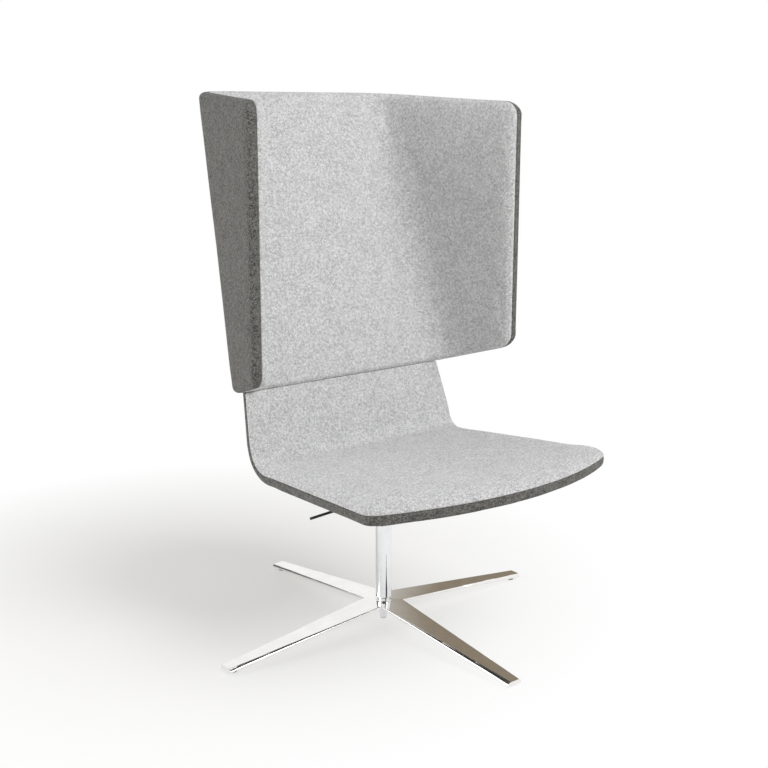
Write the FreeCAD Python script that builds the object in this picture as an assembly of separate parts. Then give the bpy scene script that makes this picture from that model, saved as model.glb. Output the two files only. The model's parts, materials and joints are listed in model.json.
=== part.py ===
"""High back lounge chair with a wrap-around acoustic panel.

Millimetres, +Z up. The origin is on the floor under the column's axis, and the
sitter faces -Y. The arms of the base lie along X and Y.
"""
import FreeCAD, Part
import math
import os
from FreeCAD import Placement, Rotation, Vector

# Seat and back shell. The border surface is where the light pad meets the dark cover.
KINK_Y = 85.0
KINK_Z = 363.0
SEAT_SLOPE = 4.2
BACK_RECLINE = 17.2
BEND_RADIUS = 52.0
SEAT_DEPTH = 502.0
SEAT_FRONT_BOW = 78.0
SEAT_FRONT_HALF_WIDTH = 312.0
KINK_HALF_WIDTH = 268.0
SEAT_CORNER_RADIUS = 34.0
SHELL_HEIGHT = 450.0
SHELL_TOP_HALF_WIDTH = 222.0
SHELL_TOP_RADIUS = 80.0
TAPER_START = 60.0
PAD_THICKNESS = 18.0
PAD_INSET = 3.0
BOARD_THICKNESS = 10.0
COVER_THICKNESS = 20.0
BOARD_INSET = 8.0

# Acoustic panel
PANEL_BOTTOM = 165.0
PANEL_PROUD = 9.0
PANEL_PAD = 15.0
PANEL_BOARD = 10.0
PANEL_COVER = 20.0
PANEL_BEND_RADIUS = 65.0
PANEL_TOP_Z = 1117.0
PANEL_TOP_FALL = 3.3
WING_SPLAY = 15.3
WING_FRONT_X = 312.7
WING_FRONT_Y = -42.0
WING_CORNER_RADIUS = 30.0
PANEL_BOARD_INSET = 8.0
SPINE_CLEARANCE = 0.5

# Four-star base
BASE_RADIUS = 400.0
HUB_TOP_Z = 54.0
HUB_HALF_WIDTH = 30.9
HUB_THICKNESS = 12.2
HUB_SIDE_EDGE = 3.5
HUB_BEVEL_DROP = 0.2
HUB_BEVEL_WIDTH = 0.4
HUB_ROUNDING = 0.05
HUB_KEEL_HALF_WIDTH = 15.0
TIP_HALF_WIDTH = 18.0
TIP_THICKNESS = 9.7
TIP_SIDE_EDGE = 3.0
TIP_BEVEL_DROP = 5.0
TIP_BEVEL_WIDTH = 8.7
TIP_ROUNDING = 1.2
TIP_KEEL_HALF_WIDTH = 15.3
TIP_END_OFFSET = 12.0
HUB_DEPTH = 15.5
HUB_BOSS_WALL = 4.0
SPOT_FACE_DEPTH = 1.5
SPOT_FACE_MARGIN = 1.0
GLIDE_RADIUS = 9.0
GLIDE_HEIGHT = 4.0
GLIDE_INSET = 16.0
GLIDE_SPIGOT_RADIUS = 4.0
GLIDE_SPIGOT_HEIGHT = 5.0
GLIDE_SCREW_RADIUS = 1.5
GLIDE_SCREW_HEAD_RADIUS = 3.2
GLIDE_SCREW_LENGTH = 10.0
GLIDE_SCREW_RECESS = 1.2

# Column
TUBE_WALL = 2.25
TUBE_HEADROOM = 53.0
COLLAR_STEP = 2.0
COLLAR_HEIGHT = 3.5
COLLAR_FLARE = 4.0
SHANK_STEP = 3.0
STUB_WALL = 4.0
STUB_BOTTOM_Z = 11.0
FOOT_PLUG_HEIGHT = 12.0
NUT_HEIGHT = 5.0
NUT_WALL = 6.0
NUT_POCKET_CLEARANCE = 1.0
BUSH_WALL = 1.95
BUSH_LENGTH = 52.0
BUSH_LIP = 3.0

# Gas spring
LIFT_TRAVEL = 100.0
CYLINDER_RADIUS = 13.0
CYLINDER_WALL = 2.0
CYLINDER_LID = 8.0
TAPER_STEP = 1.0
TAPER_LENGTH = 36.0
ROD_RADIUS = 5.0
ROD_TAIL_STEP = 1.0
PISTON_HEIGHT = 12.0
PISTON_END_GAP = 2.0
GLAND_HEIGHT = 15.0
SEAL_WALL = 3.0
SEAL_HEIGHT = 4.0
RACE_HEIGHT = 2.0
BALL_RADIUS = 2.0
BALL_COUNT = 10
BALL_POCKET_CLEARANCE = 0.1
CAGE_HEIGHT = 1.6
CAGE_RIM_STEP = 0.5
CAGE_BORE_STEP = 3.0
ROD_SHOULDER_STEP = 4.0
ROD_SHOULDER_HEIGHT = 3.0
BUFFER_STEP = 0.5
BUFFER_HEIGHT = 5.0
VALVE_BODY_HEIGHT = 22.0
BUTTON_RADIUS = 4.0
BUTTON_STAND = 8.0
BUTTON_LENGTH = 30.0
CLIP_THICKNESS = 1.2
CLIP_GAP = 3.0
ROD_GROOVE = 1.0
ROD_WASHER_STEP = 0.5
ROD_WASHER_HEIGHT = 1.0
ROD_TAIL_END = 1.6

# Running clearances
RUNNING_CLEARANCE = 0.05
STOP_CLEARANCE = 0.3

# Seat bracket, in the plane of the seat
BRACKET_SIDE_REACH = 40.0
BRACKET_LENGTH = 237.0
BRACKET_BEND_GAP = 6.6
BRACKET_PLATE = 4.0
BRACKET_FLANGE = 3.0
BRACKET_FLANGE_DEPTH = 24.0
SOCKET_WALL = 9.0
SOCKET_WINDOW = 16.0
SOCKET_CAVITY_STEP = 2.0
SOCKET_CAVITY_ROOF = 1.0
SEAT_BOLT_REACH = 22.0
SEAT_BOLT_INSET = 20.0

# Release lever
LEVER_ARM = 58.0
LEVER_Y = -160.0
SHAFT_RADIUS = 4.0
SHAFT_DROP = 16.9
LUG_THICKNESS = 5.0
LUG_WALL = 3.0
LUG_INSET = 24.0
SHAFT_BUSH_WALL = 2.0
SHAFT_OVERHANG = 4.0
SHAFT_CLIP_LIP = 2.5
SHAFT_CLIP_GROOVE = 0.8
FINGER_COLLAR_WALL = 3.5
FINGER_WIDTH = 8.0
FINGER_THICKNESS = 6.0
FINGER_GAP = 0.3
FINGER_SCREW_RADIUS = 1.5
LEVER_ROD_RADIUS = 2.0
LEVER_ROD_STUB = 1.0
LEVER_OVERHANG = 13.6
LEVER_TIP_LENGTH = 49.0
LEVER_TIP_DROP = 3.0
LEVER_RISE = 1.4
GRIP_LENGTH = 92.0
GRIP_WALL = 0.6
GRIP_END = 1.5
LEVER_SLOT = 14.0
LEVER_SLOT_MARGIN = 11.0

# Fasteners
BOLT_RADIUS = 4.0
BOLT_HEAD_RADIUS = 7.0
BOLT_HEAD_CHAMFER = 1.5
BOLT_HEAD_HEIGHT = 4.4
NUT_BARREL_RADIUS = 5.5
NUT_FLANGE_RADIUS = 11.0
NUT_FLANGE = 1.5
SOCKET_KEY_RADIUS = 2.5
SOCKET_KEY_DEPTH = 2.5
PANEL_BOLT_X = 110.0
PANEL_BOLT_RISE = 75.0
PANEL_BOLT_DROP = 70.0
PANEL_BOLT_END_GAP = 2.0
CAP_RADIUS = 12.0
CAP_HEIGHT = 3.0

X_AXIS = Vector(1, 0, 0)
Y_AXIS = Vector(0, 1, 0)
Z_AXIS = Vector(0, 0, 1)
ORIGIN = Vector(0, 0, 0)
KINK = Vector(0, KINK_Y, KINK_Z)
# In the seat frame -Y runs to the front along the seat and +Z is square to it.
SEAT_FRAME = Placement(KINK, Rotation(X_AXIS, -SEAT_SLOPE))
# In the back frame +Z runs up the back and -Y is square to it, towards the sitter.
BACK_FRAME = Placement(KINK, Rotation(X_AXIS, -BACK_RECLINE))
SLOPE = math.radians(SEAT_SLOPE)
RECLINE = math.radians(BACK_RECLINE)
SPLAY = math.radians(WING_SPLAY)
BORDER_TO_PANEL = PAD_THICKNESS + PANEL_PROUD
PANEL_THICKNESS = PANEL_PAD + PANEL_COVER
FAR = 500.0


def save(name, shape):
    """Write one node."""
    os.makedirs("parts", exist_ok=True)
    shape.exportStep("parts/" + name + ".step")


def placed(shape, frame):
    """A copy of a shape moved from a local frame to the chair's frame."""
    moved = shape.copy()
    moved.Placement = frame.multiply(moved.Placement)
    return moved


def rod(radius, low, high, x=0.0, y=0.0):
    """Upright cylinder between two heights."""
    return Part.makeCylinder(radius, high - low, Vector(x, y, low))


def ring(outer, inner, low, high):
    """Upright tube between two heights."""
    return rod(outer, low, high).cut(rod(inner, low - 1, high + 1))


def cone(low_radius, high_radius, low, high):
    """Upright cone frustum between two heights."""
    return Part.makeCone(low_radius, high_radius, high - low, Vector(0, 0, low))


def box(x_range, y_range, z_range):
    """Box between ranges along the three axes."""
    corner = Vector(x_range[0], y_range[0], z_range[0])
    size = [pair[1] - pair[0] for pair in (x_range, y_range, z_range)]
    return Part.makeBox(size[0], size[1], size[2], corner)


def fused(shapes):
    """Union of a list of shapes with the seams between its faces removed."""
    whole = shapes[0]
    if len(shapes) > 1:
        whole = whole.multiFuse(shapes[1:])
    return whole.removeSplitter()


def single(shape):
    """The one solid of a shape that has only one."""
    return shape.Solids[0]


def group(shapes):
    """Several equal pieces kept as separate solids in one node."""
    return Part.makeCompound([solid for shape in shapes for solid in shape.Solids])


def edges_along(shape, direction):
    """Straight edges of a shape that run along a direction."""
    found = []
    for edge in shape.Edges:
        if not isinstance(edge.Curve, (Part.Line, Part.LineSegment)):
            continue
        if edge.tangentAt(edge.FirstParameter).cross(direction).Length < 1e-6:
            found.append(edge)
    return found


# Radii worked out from the sizes above, from the rod outwards
ROD_TAIL_RADIUS = ROD_RADIUS - ROD_TAIL_STEP
ROD_SHOULDER_RADIUS = ROD_RADIUS + ROD_SHOULDER_STEP
SEAL_RADIUS = ROD_RADIUS + SEAL_WALL
STUB_RADIUS = ROD_TAIL_RADIUS + STUB_WALL
ROD_WASHER_RADIUS = STUB_RADIUS - ROD_WASHER_STEP
HUB_BORE_RADIUS = STUB_RADIUS + SHANK_STEP
COLLAR_RADIUS = HUB_BORE_RADIUS + COLLAR_STEP
NUT_RADIUS = STUB_RADIUS + NUT_WALL
HUB_BOSS_RADIUS = NUT_RADIUS + HUB_BOSS_WALL
CYLINDER_BORE_RADIUS = CYLINDER_RADIUS - CYLINDER_WALL
BUFFER_RADIUS = CYLINDER_RADIUS - BUFFER_STEP
TAPER_TOP_RADIUS = CYLINDER_RADIUS - TAPER_STEP
SOCKET_RADIUS = CYLINDER_RADIUS + SOCKET_WALL
SOCKET_CAVITY_RADIUS = CYLINDER_RADIUS + SOCKET_CAVITY_STEP
BUSH_BORE_RADIUS = CYLINDER_RADIUS + RUNNING_CLEARANCE
TUBE_BORE_RADIUS = BUSH_BORE_RADIUS + BUSH_WALL
TUBE_RADIUS = TUBE_BORE_RADIUS + TUBE_WALL
RACE_OUTER_RADIUS = TUBE_BORE_RADIUS - STOP_CLEARANCE
CAGE_OUTER_RADIUS = RACE_OUTER_RADIUS - CAGE_RIM_STEP
CAGE_INNER_RADIUS = ROD_TAIL_RADIUS + CAGE_BORE_STEP
BALL_CIRCLE_RADIUS = (CAGE_OUTER_RADIUS + CAGE_INNER_RADIUS) / 2
SHAFT_BUSH_RADIUS = SHAFT_RADIUS + SHAFT_BUSH_WALL
LUG_RADIUS = SHAFT_BUSH_RADIUS + LUG_WALL
FINGER_COLLAR_RADIUS = SHAFT_RADIUS + FINGER_COLLAR_WALL

# Heights worked out from the sizes above
TIP_TOP_Z = GLIDE_HEIGHT + TIP_THICKNESS
SPOT_FACE_Z = HUB_TOP_Z - SPOT_FACE_DEPTH
HUB_BOTTOM_Z = SPOT_FACE_Z - HUB_DEPTH
COLLAR_TOP_Z = SPOT_FACE_Z + COLLAR_HEIGHT
TUBE_BOTTOM_Z = COLLAR_TOP_Z + COLLAR_FLARE
FOOT_TOP_Z = TUBE_BOTTOM_Z + FOOT_PLUG_HEIGHT
BALL_Z = FOOT_TOP_Z + RACE_HEIGHT + RUNNING_CLEARANCE + BALL_RADIUS
UPPER_RACE_Z = BALL_Z + BALL_RADIUS
SHOULDER_Z = UPPER_RACE_Z + RACE_HEIGHT
BUFFER_Z = SHOULDER_Z + ROD_SHOULDER_HEIGHT
CYLINDER_BOTTOM_Z = BUFFER_Z + BUFFER_HEIGHT + STOP_CLEARANCE
GLAND_TOP_Z = CYLINDER_BOTTOM_Z + GLAND_HEIGHT
PISTON_Z = GLAND_TOP_Z + LIFT_TRAVEL + PISTON_END_GAP
SHAFT_Z = KINK_Z + KINK_Y * math.tan(SLOPE) - (COVER_THICKNESS + SHAFT_DROP) / math.cos(SLOPE)
BUTTON_TOP_Z = SHAFT_Z - FINGER_THICKNESS / 2 - FINGER_GAP
CYLINDER_TOP_Z = BUTTON_TOP_Z - BUTTON_STAND
TUBE_TOP_Z = CYLINDER_TOP_Z - TAPER_LENGTH - TUBE_HEADROOM

# Bracket and panel bolts, worked out from the sizes above
BEND_TANGENT = BEND_RADIUS / math.tan((math.pi / 2 - SLOPE + RECLINE) / 2)
BRACKET_HALF_WIDTH = LEVER_ARM + BRACKET_SIDE_REACH
BRACKET_REAR = BEND_TANGENT + BRACKET_BEND_GAP
BRACKET_FRONT = BRACKET_REAR + BRACKET_LENGTH
SEAT_BOLT_X = LEVER_ARM + SEAT_BOLT_REACH
SEAT_BOLT_FRONT = BRACKET_FRONT - SEAT_BOLT_INSET
SEAT_BOLT_REAR = BRACKET_REAR + SEAT_BOLT_INSET
LUG_FRONT = BRACKET_FRONT - LUG_INSET
LUG_REAR = BRACKET_REAR + LUG_INSET
PANEL_BOLT_LOW = PANEL_BOTTOM + PANEL_BOLT_RISE
PANEL_BOLT_HIGH = SHELL_HEIGHT - PANEL_BOLT_DROP
PANEL_BOLT_LENGTH = BOARD_THICKNESS + BORDER_TO_PANEL - PANEL_PAD - PANEL_BOLT_END_GAP


def cover_underside_z(y):
    """Height of the cover's flat underside at a place along the chair."""
    return KINK_Z + (KINK_Y - y) * math.tan(SLOPE) - COVER_THICKNESS / math.cos(SLOPE)


# Base


def arm_section(distance, share):
    """Cross-section of an arm at a distance from the axis; share is 0 at the axis, 1 at the tip."""
    def between(at_hub, at_tip):
        return at_hub + (at_tip - at_hub) * share
    top = between(HUB_TOP_Z, TIP_TOP_Z)
    wide = between(HUB_HALF_WIDTH, TIP_HALF_WIDTH)
    flat = wide - between(HUB_BEVEL_WIDTH, TIP_BEVEL_WIDTH)
    shoulder = top - between(HUB_BEVEL_DROP, TIP_BEVEL_DROP)
    lower = shoulder - between(HUB_SIDE_EDGE, TIP_SIDE_EDGE)
    bottom = top - between(HUB_THICKNESS, TIP_THICKNESS)
    keel = between(HUB_KEEL_HALF_WIDTH, TIP_KEEL_HALF_WIDTH)
    bulge = between(HUB_ROUNDING, TIP_ROUNDING)
    middle = (flat + wide) / 2 + bulge / 2
    middle_z = (top + shoulder) / 2 + bulge

    def point(y, z):
        return Vector(distance, y, z)
    right = Part.Arc(point(flat, top), point(middle, middle_z), point(wide, shoulder)).toShape()
    left = Part.Arc(point(-wide, shoulder), point(-middle, middle_z), point(-flat, top)).toShape()
    corners = [point(wide, shoulder), point(wide, lower), point(keel, bottom),
               point(-keel, bottom), point(-wide, lower), point(-wide, shoulder)]
    under = [Part.makeLine(a, b) for a, b in zip(corners, corners[1:])]
    top_line = Part.makeLine(point(-flat, top), point(flat, top))
    return Part.Wire([top_line, right] + under + [left])


def base_arm():
    """One arm along +X, cut to the wedge between its neighbours."""
    inner = arm_section(0.0, 0.0)
    outer = arm_section(BASE_RADIUS, 1.0)
    blank = Part.makeLoft([inner, outer], True, True)
    wedge_points = [ORIGIN, Vector(FAR, -FAR, 0), Vector(FAR, FAR, 0), ORIGIN]
    wedge = Part.Face(Part.makePolygon(wedge_points)).extrude(Vector(0, 0, FAR))
    arm = blank.common(wedge)
    trim = rod(BASE_RADIUS + TIP_END_OFFSET, -1, FAR, x=-TIP_END_OFFSET)
    return arm.common(trim)


def base_casting():
    """Hub and four arms in one piece."""
    arm = base_arm()
    arms = []
    for turn in range(4):
        copy = arm.copy()
        copy.rotate(ORIGIN, Z_AXIS, 90 * turn)
        arms.append(copy)
    boss = rod(HUB_BOSS_RADIUS, HUB_BOTTOM_Z, SPOT_FACE_Z)
    body = fused(arms + [boss])
    body = body.cut(rod(COLLAR_RADIUS + SPOT_FACE_MARGIN, SPOT_FACE_Z, FAR))
    body = body.cut(rod(HUB_BORE_RADIUS, 0, FAR))
    body = body.cut(rod(NUT_RADIUS + NUT_POCKET_CLEARANCE, 0, HUB_BOTTOM_Z + NUT_HEIGHT))
    for turn in range(4):
        for tool in (glide_spigot_hole(), glide_screw_hole()):
            tool.rotate(ORIGIN, Z_AXIS, 90 * turn)
            body = body.cut(tool)
    return single(body)


def glide_place():
    """Distance of a glide from the column's axis."""
    return BASE_RADIUS - GLIDE_INSET


def glide_spigot_hole():
    """Blind hole for the spigot of one glide."""
    return rod(GLIDE_SPIGOT_RADIUS, 0, GLIDE_HEIGHT + GLIDE_SPIGOT_HEIGHT, x=glide_place())


def glide_screw_hole():
    """Blind hole for one glide screw."""
    top = GLIDE_SCREW_RECESS + GLIDE_SCREW_LENGTH
    return rod(GLIDE_SCREW_RADIUS, 0, top, x=glide_place())


def glide_screw():
    """Countersunk screw of one glide."""
    place = Vector(glide_place(), 0, GLIDE_SCREW_RECESS)
    head_height = GLIDE_SCREW_HEAD_RADIUS - GLIDE_SCREW_RADIUS
    head = Part.makeCone(GLIDE_SCREW_HEAD_RADIUS, GLIDE_SCREW_RADIUS, head_height, place)
    shank = rod(GLIDE_SCREW_RADIUS, GLIDE_SCREW_RECESS,
                GLIDE_SCREW_RECESS + GLIDE_SCREW_LENGTH, x=glide_place())
    return fused([head, shank])


def glide():
    """Round glide under one arm tip, with a spigot up into the arm."""
    pad = rod(GLIDE_RADIUS, 0, GLIDE_HEIGHT + GLIDE_SPIGOT_HEIGHT, x=glide_place())
    pad = pad.cut(base_arm())
    spigot = rod(GLIDE_SPIGOT_RADIUS, 1, GLIDE_HEIGHT + GLIDE_SPIGOT_HEIGHT, x=glide_place())
    body = fused([pad, spigot])
    recess = rod(GLIDE_SCREW_HEAD_RADIUS, 0, GLIDE_SCREW_RECESS, x=glide_place())
    return single(body.cut(recess).cut(glide_screw()))


def around_base(shape):
    """Four copies of a shape, one per arm."""
    copies = []
    for turn in range(4):
        copy = shape.copy()
        copy.rotate(ORIGIN, Z_AXIS, 90 * turn)
        copies.append(copy)
    return group(copies)


# Column and gas spring


def column_tube():
    """Outer tube of the column."""
    return ring(TUBE_RADIUS, TUBE_BORE_RADIUS, TUBE_BOTTOM_Z, TUBE_TOP_Z)


def column_foot():
    """Turned plug in the tube's lower end, with collar, shank through the hub and stub."""
    shank_bottom = HUB_BOTTOM_Z + NUT_HEIGHT
    body = fused([
        rod(TUBE_BORE_RADIUS, TUBE_BOTTOM_Z, FOOT_TOP_Z),
        cone(COLLAR_RADIUS, TUBE_RADIUS, COLLAR_TOP_Z, TUBE_BOTTOM_Z),
        rod(COLLAR_RADIUS, SPOT_FACE_Z, COLLAR_TOP_Z),
        rod(HUB_BORE_RADIUS, shank_bottom, SPOT_FACE_Z),
        rod(STUB_RADIUS, STUB_BOTTOM_Z, shank_bottom)])
    bore = rod(ROD_TAIL_RADIUS + RUNNING_CLEARANCE, 0, FOOT_TOP_Z + 1)
    return single(body.cut(bore))


def base_nut():
    """Round nut that clamps the foot in the hub from below."""
    return ring(NUT_RADIUS, STUB_RADIUS, HUB_BOTTOM_Z, HUB_BOTTOM_Z + NUT_HEIGHT)


def guide_bush():
    """Plastic bush at the top of the tube, with a lip over the tube's end."""
    sleeve = ring(TUBE_BORE_RADIUS, BUSH_BORE_RADIUS, TUBE_TOP_Z - BUSH_LENGTH, TUBE_TOP_Z + 1)
    lip = ring(TUBE_RADIUS, BUSH_BORE_RADIUS, TUBE_TOP_Z, TUBE_TOP_Z + BUSH_LIP)
    return fused([sleeve, lip])


def lower_race():
    """Thrust washer on the foot."""
    inner = ROD_TAIL_RADIUS + 3 * RUNNING_CLEARANCE
    return ring(RACE_OUTER_RADIUS, inner, FOOT_TOP_Z, FOOT_TOP_Z + RACE_HEIGHT)


def upper_race():
    """Thrust washer under the rod's shoulder."""
    return ring(RACE_OUTER_RADIUS, ROD_TAIL_RADIUS, UPPER_RACE_Z, SHOULDER_Z)


def ball_places():
    """Centres of the bearing balls."""
    places = []
    for index in range(BALL_COUNT):
        angle = 2 * math.pi * index / BALL_COUNT
        x = BALL_CIRCLE_RADIUS * math.cos(angle)
        y = BALL_CIRCLE_RADIUS * math.sin(angle)
        places.append(Vector(x, y, BALL_Z))
    return places


def bearing_balls():
    """Balls of the thrust bearing."""
    return group([Part.makeSphere(BALL_RADIUS, place) for place in ball_places()])


def ball_cage():
    """Flat ring that keeps the balls apart."""
    low = BALL_Z - CAGE_HEIGHT / 2
    cage = ring(CAGE_OUTER_RADIUS, CAGE_INNER_RADIUS, low, low + CAGE_HEIGHT)
    pocket = BALL_RADIUS + BALL_POCKET_CLEARANCE
    for place in ball_places():
        cage = cage.cut(rod(pocket, low - 1, low + CAGE_HEIGHT + 1, place.x, place.y))
    return single(cage)


def piston_rod():
    """Rod with its shoulder on the bearing and a tail down through the foot."""
    tail_bottom = STUB_BOTTOM_Z - STOP_CLEARANCE - ROD_WASHER_HEIGHT - CLIP_THICKNESS - ROD_TAIL_END
    body = fused([
        rod(ROD_TAIL_RADIUS, tail_bottom, SHOULDER_Z),
        rod(ROD_SHOULDER_RADIUS, SHOULDER_Z, BUFFER_Z),
        rod(ROD_RADIUS, BUFFER_Z, PISTON_Z)])
    groove_top = STUB_BOTTOM_Z - STOP_CLEARANCE - ROD_WASHER_HEIGHT
    groove = ring(ROD_RADIUS, ROD_TAIL_RADIUS - ROD_GROOVE, groove_top - CLIP_THICKNESS, groove_top)
    return single(body.cut(groove))


def rod_washer():
    """Washer between the stub's end and the clip."""
    top = STUB_BOTTOM_Z - STOP_CLEARANCE
    return ring(ROD_WASHER_RADIUS, ROD_TAIL_RADIUS, top - ROD_WASHER_HEIGHT, top)


def rod_clip():
    """Open retaining clip in the groove of the rod's tail."""
    top = STUB_BOTTOM_Z - STOP_CLEARANCE - ROD_WASHER_HEIGHT
    outer = ROD_WASHER_RADIUS - ROD_WASHER_STEP
    clip = ring(outer, ROD_TAIL_RADIUS - ROD_GROOVE, top - CLIP_THICKNESS, top)
    return single(clip.cut(box((0, FAR), (-CLIP_GAP / 2, CLIP_GAP / 2), (0, top))))


def piston():
    """Piston on the rod's upper end."""
    radius = CYLINDER_BORE_RADIUS - RUNNING_CLEARANCE
    return rod(radius, PISTON_Z, PISTON_Z + PISTON_HEIGHT)


def rest_buffer():
    """Rubber ring on the shoulder under the cylinder."""
    return ring(BUFFER_RADIUS, ROD_RADIUS, BUFFER_Z, BUFFER_Z + BUFFER_HEIGHT)


def gas_cylinder():
    """Pressure tube with its lid and the taper that carries the seat."""
    taper_low = CYLINDER_TOP_Z - TAPER_LENGTH
    outside = fused([
        rod(CYLINDER_RADIUS, CYLINDER_BOTTOM_Z, taper_low),
        cone(CYLINDER_RADIUS, TAPER_TOP_RADIUS, taper_low, CYLINDER_TOP_Z)])
    bore = rod(CYLINDER_BORE_RADIUS, CYLINDER_BOTTOM_Z - 1, CYLINDER_TOP_Z - CYLINDER_LID)
    pin_hole = rod(BUTTON_RADIUS, CYLINDER_BOTTOM_Z, CYLINDER_TOP_Z + 1)
    return single(outside.cut(bore).cut(pin_hole))


def cylinder_gland():
    """Plug that closes the cylinder round the rod, with a groove for the seal."""
    body = ring(CYLINDER_BORE_RADIUS, ROD_RADIUS + RUNNING_CLEARANCE, CYLINDER_BOTTOM_Z, GLAND_TOP_Z)
    middle = CYLINDER_BOTTOM_Z + GLAND_HEIGHT / 2
    groove = rod(SEAL_RADIUS, middle - SEAL_HEIGHT / 2, middle + SEAL_HEIGHT / 2)
    return single(body.cut(groove))


def rod_seal():
    """Lip seal in the gland."""
    middle = CYLINDER_BOTTOM_Z + GLAND_HEIGHT / 2
    low = middle - SEAL_HEIGHT / 2
    return ring(SEAL_RADIUS, ROD_RADIUS + RUNNING_CLEARANCE, low, low + SEAL_HEIGHT)


def valve_body():
    """Valve block under the cylinder's lid, round the release pin."""
    top = CYLINDER_TOP_Z - CYLINDER_LID
    return ring(CYLINDER_BORE_RADIUS, BUTTON_RADIUS, top - VALVE_BODY_HEIGHT, top)


def release_button():
    """Pin in the cylinder's lid that opens the valve when it is pressed down."""
    radius = BUTTON_RADIUS - RUNNING_CLEARANCE
    return rod(radius, BUTTON_TOP_Z - BUTTON_LENGTH, BUTTON_TOP_Z)


# Shell of seat and back


def bend_points(offset):
    """Ends and middle of the bend, a distance above the border surface."""
    centre = SEAT_FRAME.multVec(Vector(0, -BEND_TANGENT, BEND_RADIUS))
    on_seat = SEAT_FRAME.multVec(Vector(0, -BEND_TANGENT, offset))
    on_back = BACK_FRAME.multVec(Vector(0, -offset, BEND_TANGENT))
    inward = (KINK - centre).normalize()
    middle = centre + inward * (BEND_RADIUS - offset)
    return on_seat, middle, on_back


def shell_slab(low, high, height):
    """Bent slab between two offsets from the border surface, wider than the chair."""
    front = SEAT_DEPTH + 20
    low_seat, low_middle, low_back = bend_points(low)
    high_seat, high_middle, high_back = bend_points(high)
    low_front = SEAT_FRAME.multVec(Vector(0, -front, low))
    high_front = SEAT_FRAME.multVec(Vector(0, -front, high))
    low_top = BACK_FRAME.multVec(Vector(0, -low, height))
    high_top = BACK_FRAME.multVec(Vector(0, -high, height))
    wire = Part.Wire([
        Part.makeLine(low_front, low_seat),
        Part.Arc(low_seat, low_middle, low_back).toShape(),
        Part.makeLine(low_back, low_top),
        Part.makeLine(low_top, high_top),
        Part.makeLine(high_top, high_back),
        Part.Arc(high_back, high_middle, high_seat).toShape(),
        Part.makeLine(high_seat, high_front),
        Part.makeLine(high_front, low_front)])
    slab = Part.Face(wire).extrude(Vector(2 * FAR, 0, 0))
    slab.translate(Vector(-FAR, 0, 0))
    return slab


def seat_outline():
    """Outline of the seat in its own plane, from behind the bend to the bowed front."""
    corner = -(SEAT_DEPTH - SEAT_FRONT_BOW)
    bow = Part.Arc(Vector(-SEAT_FRONT_HALF_WIDTH, corner, 0), Vector(0, -SEAT_DEPTH, 0),
                   Vector(SEAT_FRONT_HALF_WIDTH, corner, 0)).toShape()
    side = [Vector(SEAT_FRONT_HALF_WIDTH, corner, 0), Vector(KINK_HALF_WIDTH, -TAPER_START, 0),
            Vector(KINK_HALF_WIDTH, 100, 0), Vector(-KINK_HALF_WIDTH, 100, 0),
            Vector(-KINK_HALF_WIDTH, -TAPER_START, 0), Vector(-SEAT_FRONT_HALF_WIDTH, corner, 0)]
    lines = [Part.makeLine(a, b) for a, b in zip(side, side[1:])]
    prism = Part.Face(Part.Wire([bow] + lines)).extrude(Vector(0, 0, 120))
    front_edges = []
    for edge in edges_along(prism, Z_AXIS):
        if abs(edge.Vertexes[0].Point.y - corner) < 1e-3:
            front_edges.append(edge)
    return prism.makeFillet(SEAT_CORNER_RADIUS, front_edges)


def back_outline():
    """Outline of the back in its own plane, from below the bend to its rounded top."""
    points = [Vector(KINK_HALF_WIDTH, 0, -100), Vector(KINK_HALF_WIDTH, 0, TAPER_START),
              Vector(SHELL_TOP_HALF_WIDTH, 0, SHELL_HEIGHT),
              Vector(-SHELL_TOP_HALF_WIDTH, 0, SHELL_HEIGHT),
              Vector(-KINK_HALF_WIDTH, 0, TAPER_START), Vector(-KINK_HALF_WIDTH, 0, -100)]
    outline = Part.makePolygon(points + [points[0]])
    prism = Part.Face(outline).extrude(Vector(0, 120, 0))
    top_edges = []
    for edge in edges_along(prism, Y_AXIS):
        if abs(edge.Vertexes[0].Point.z - SHELL_HEIGHT) < 1e-3:
            top_edges.append(edge)
    return prism.makeFillet(SHELL_TOP_RADIUS, top_edges)


def inset_prism(prism, normal, inset):
    """The prism's outline moved inwards, as a prism centred on its plane."""
    ends = [face for face in prism.Faces if face.normalAt(0, 0).cross(normal).Length < 1e-6]
    ends.sort(key=lambda face: face.CenterOfMass.dot(normal))
    outline = Part.Face(ends[0].OuterWire)
    if inset:
        outline = outline.makeOffset2D(-inset)
    solid = outline.extrude(normal * 120)
    solid.translate(normal * -60)
    return solid


def shell_layer(low, high, inset, height=SHELL_HEIGHT):
    """One layer of the bent shell between two offsets, its outline inset."""
    seat = placed(inset_prism(seat_outline(), Z_AXIS, inset), SEAT_FRAME)
    back = placed(inset_prism(back_outline(), Y_AXIS, inset), BACK_FRAME)
    slab = shell_slab(low, high, height)
    return fused([slab.common(seat), slab.common(back)])


def seat_bolt_places():
    """Bolt places in the plane of the seat."""
    return [(x, -y) for x in (-SEAT_BOLT_X, SEAT_BOLT_X) for y in (SEAT_BOLT_FRONT, SEAT_BOLT_REAR)]


def panel_bolt_places():
    """Bolt places in the plane of the back."""
    return [(x, z) for x in (-PANEL_BOLT_X, PANEL_BOLT_X) for z in (PANEL_BOLT_LOW, PANEL_BOLT_HIGH)]


def seat_holes(radius, low, high):
    """Cylinders at the seat's bolt places, square to the seat."""
    tools = [rod(radius, low, high, x, y) for x, y in seat_bolt_places()]
    return [placed(tool, SEAT_FRAME) for tool in tools]


def panel_holes(radius, near, far):
    """Cylinders at the panel's bolt places, square to the back."""
    tools = []
    for x, z in panel_bolt_places():
        tool = Part.makeCylinder(radius, far - near, Vector(x, near, z), Y_AXIS)
        tools.append(placed(tool, BACK_FRAME))
    return tools


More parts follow.
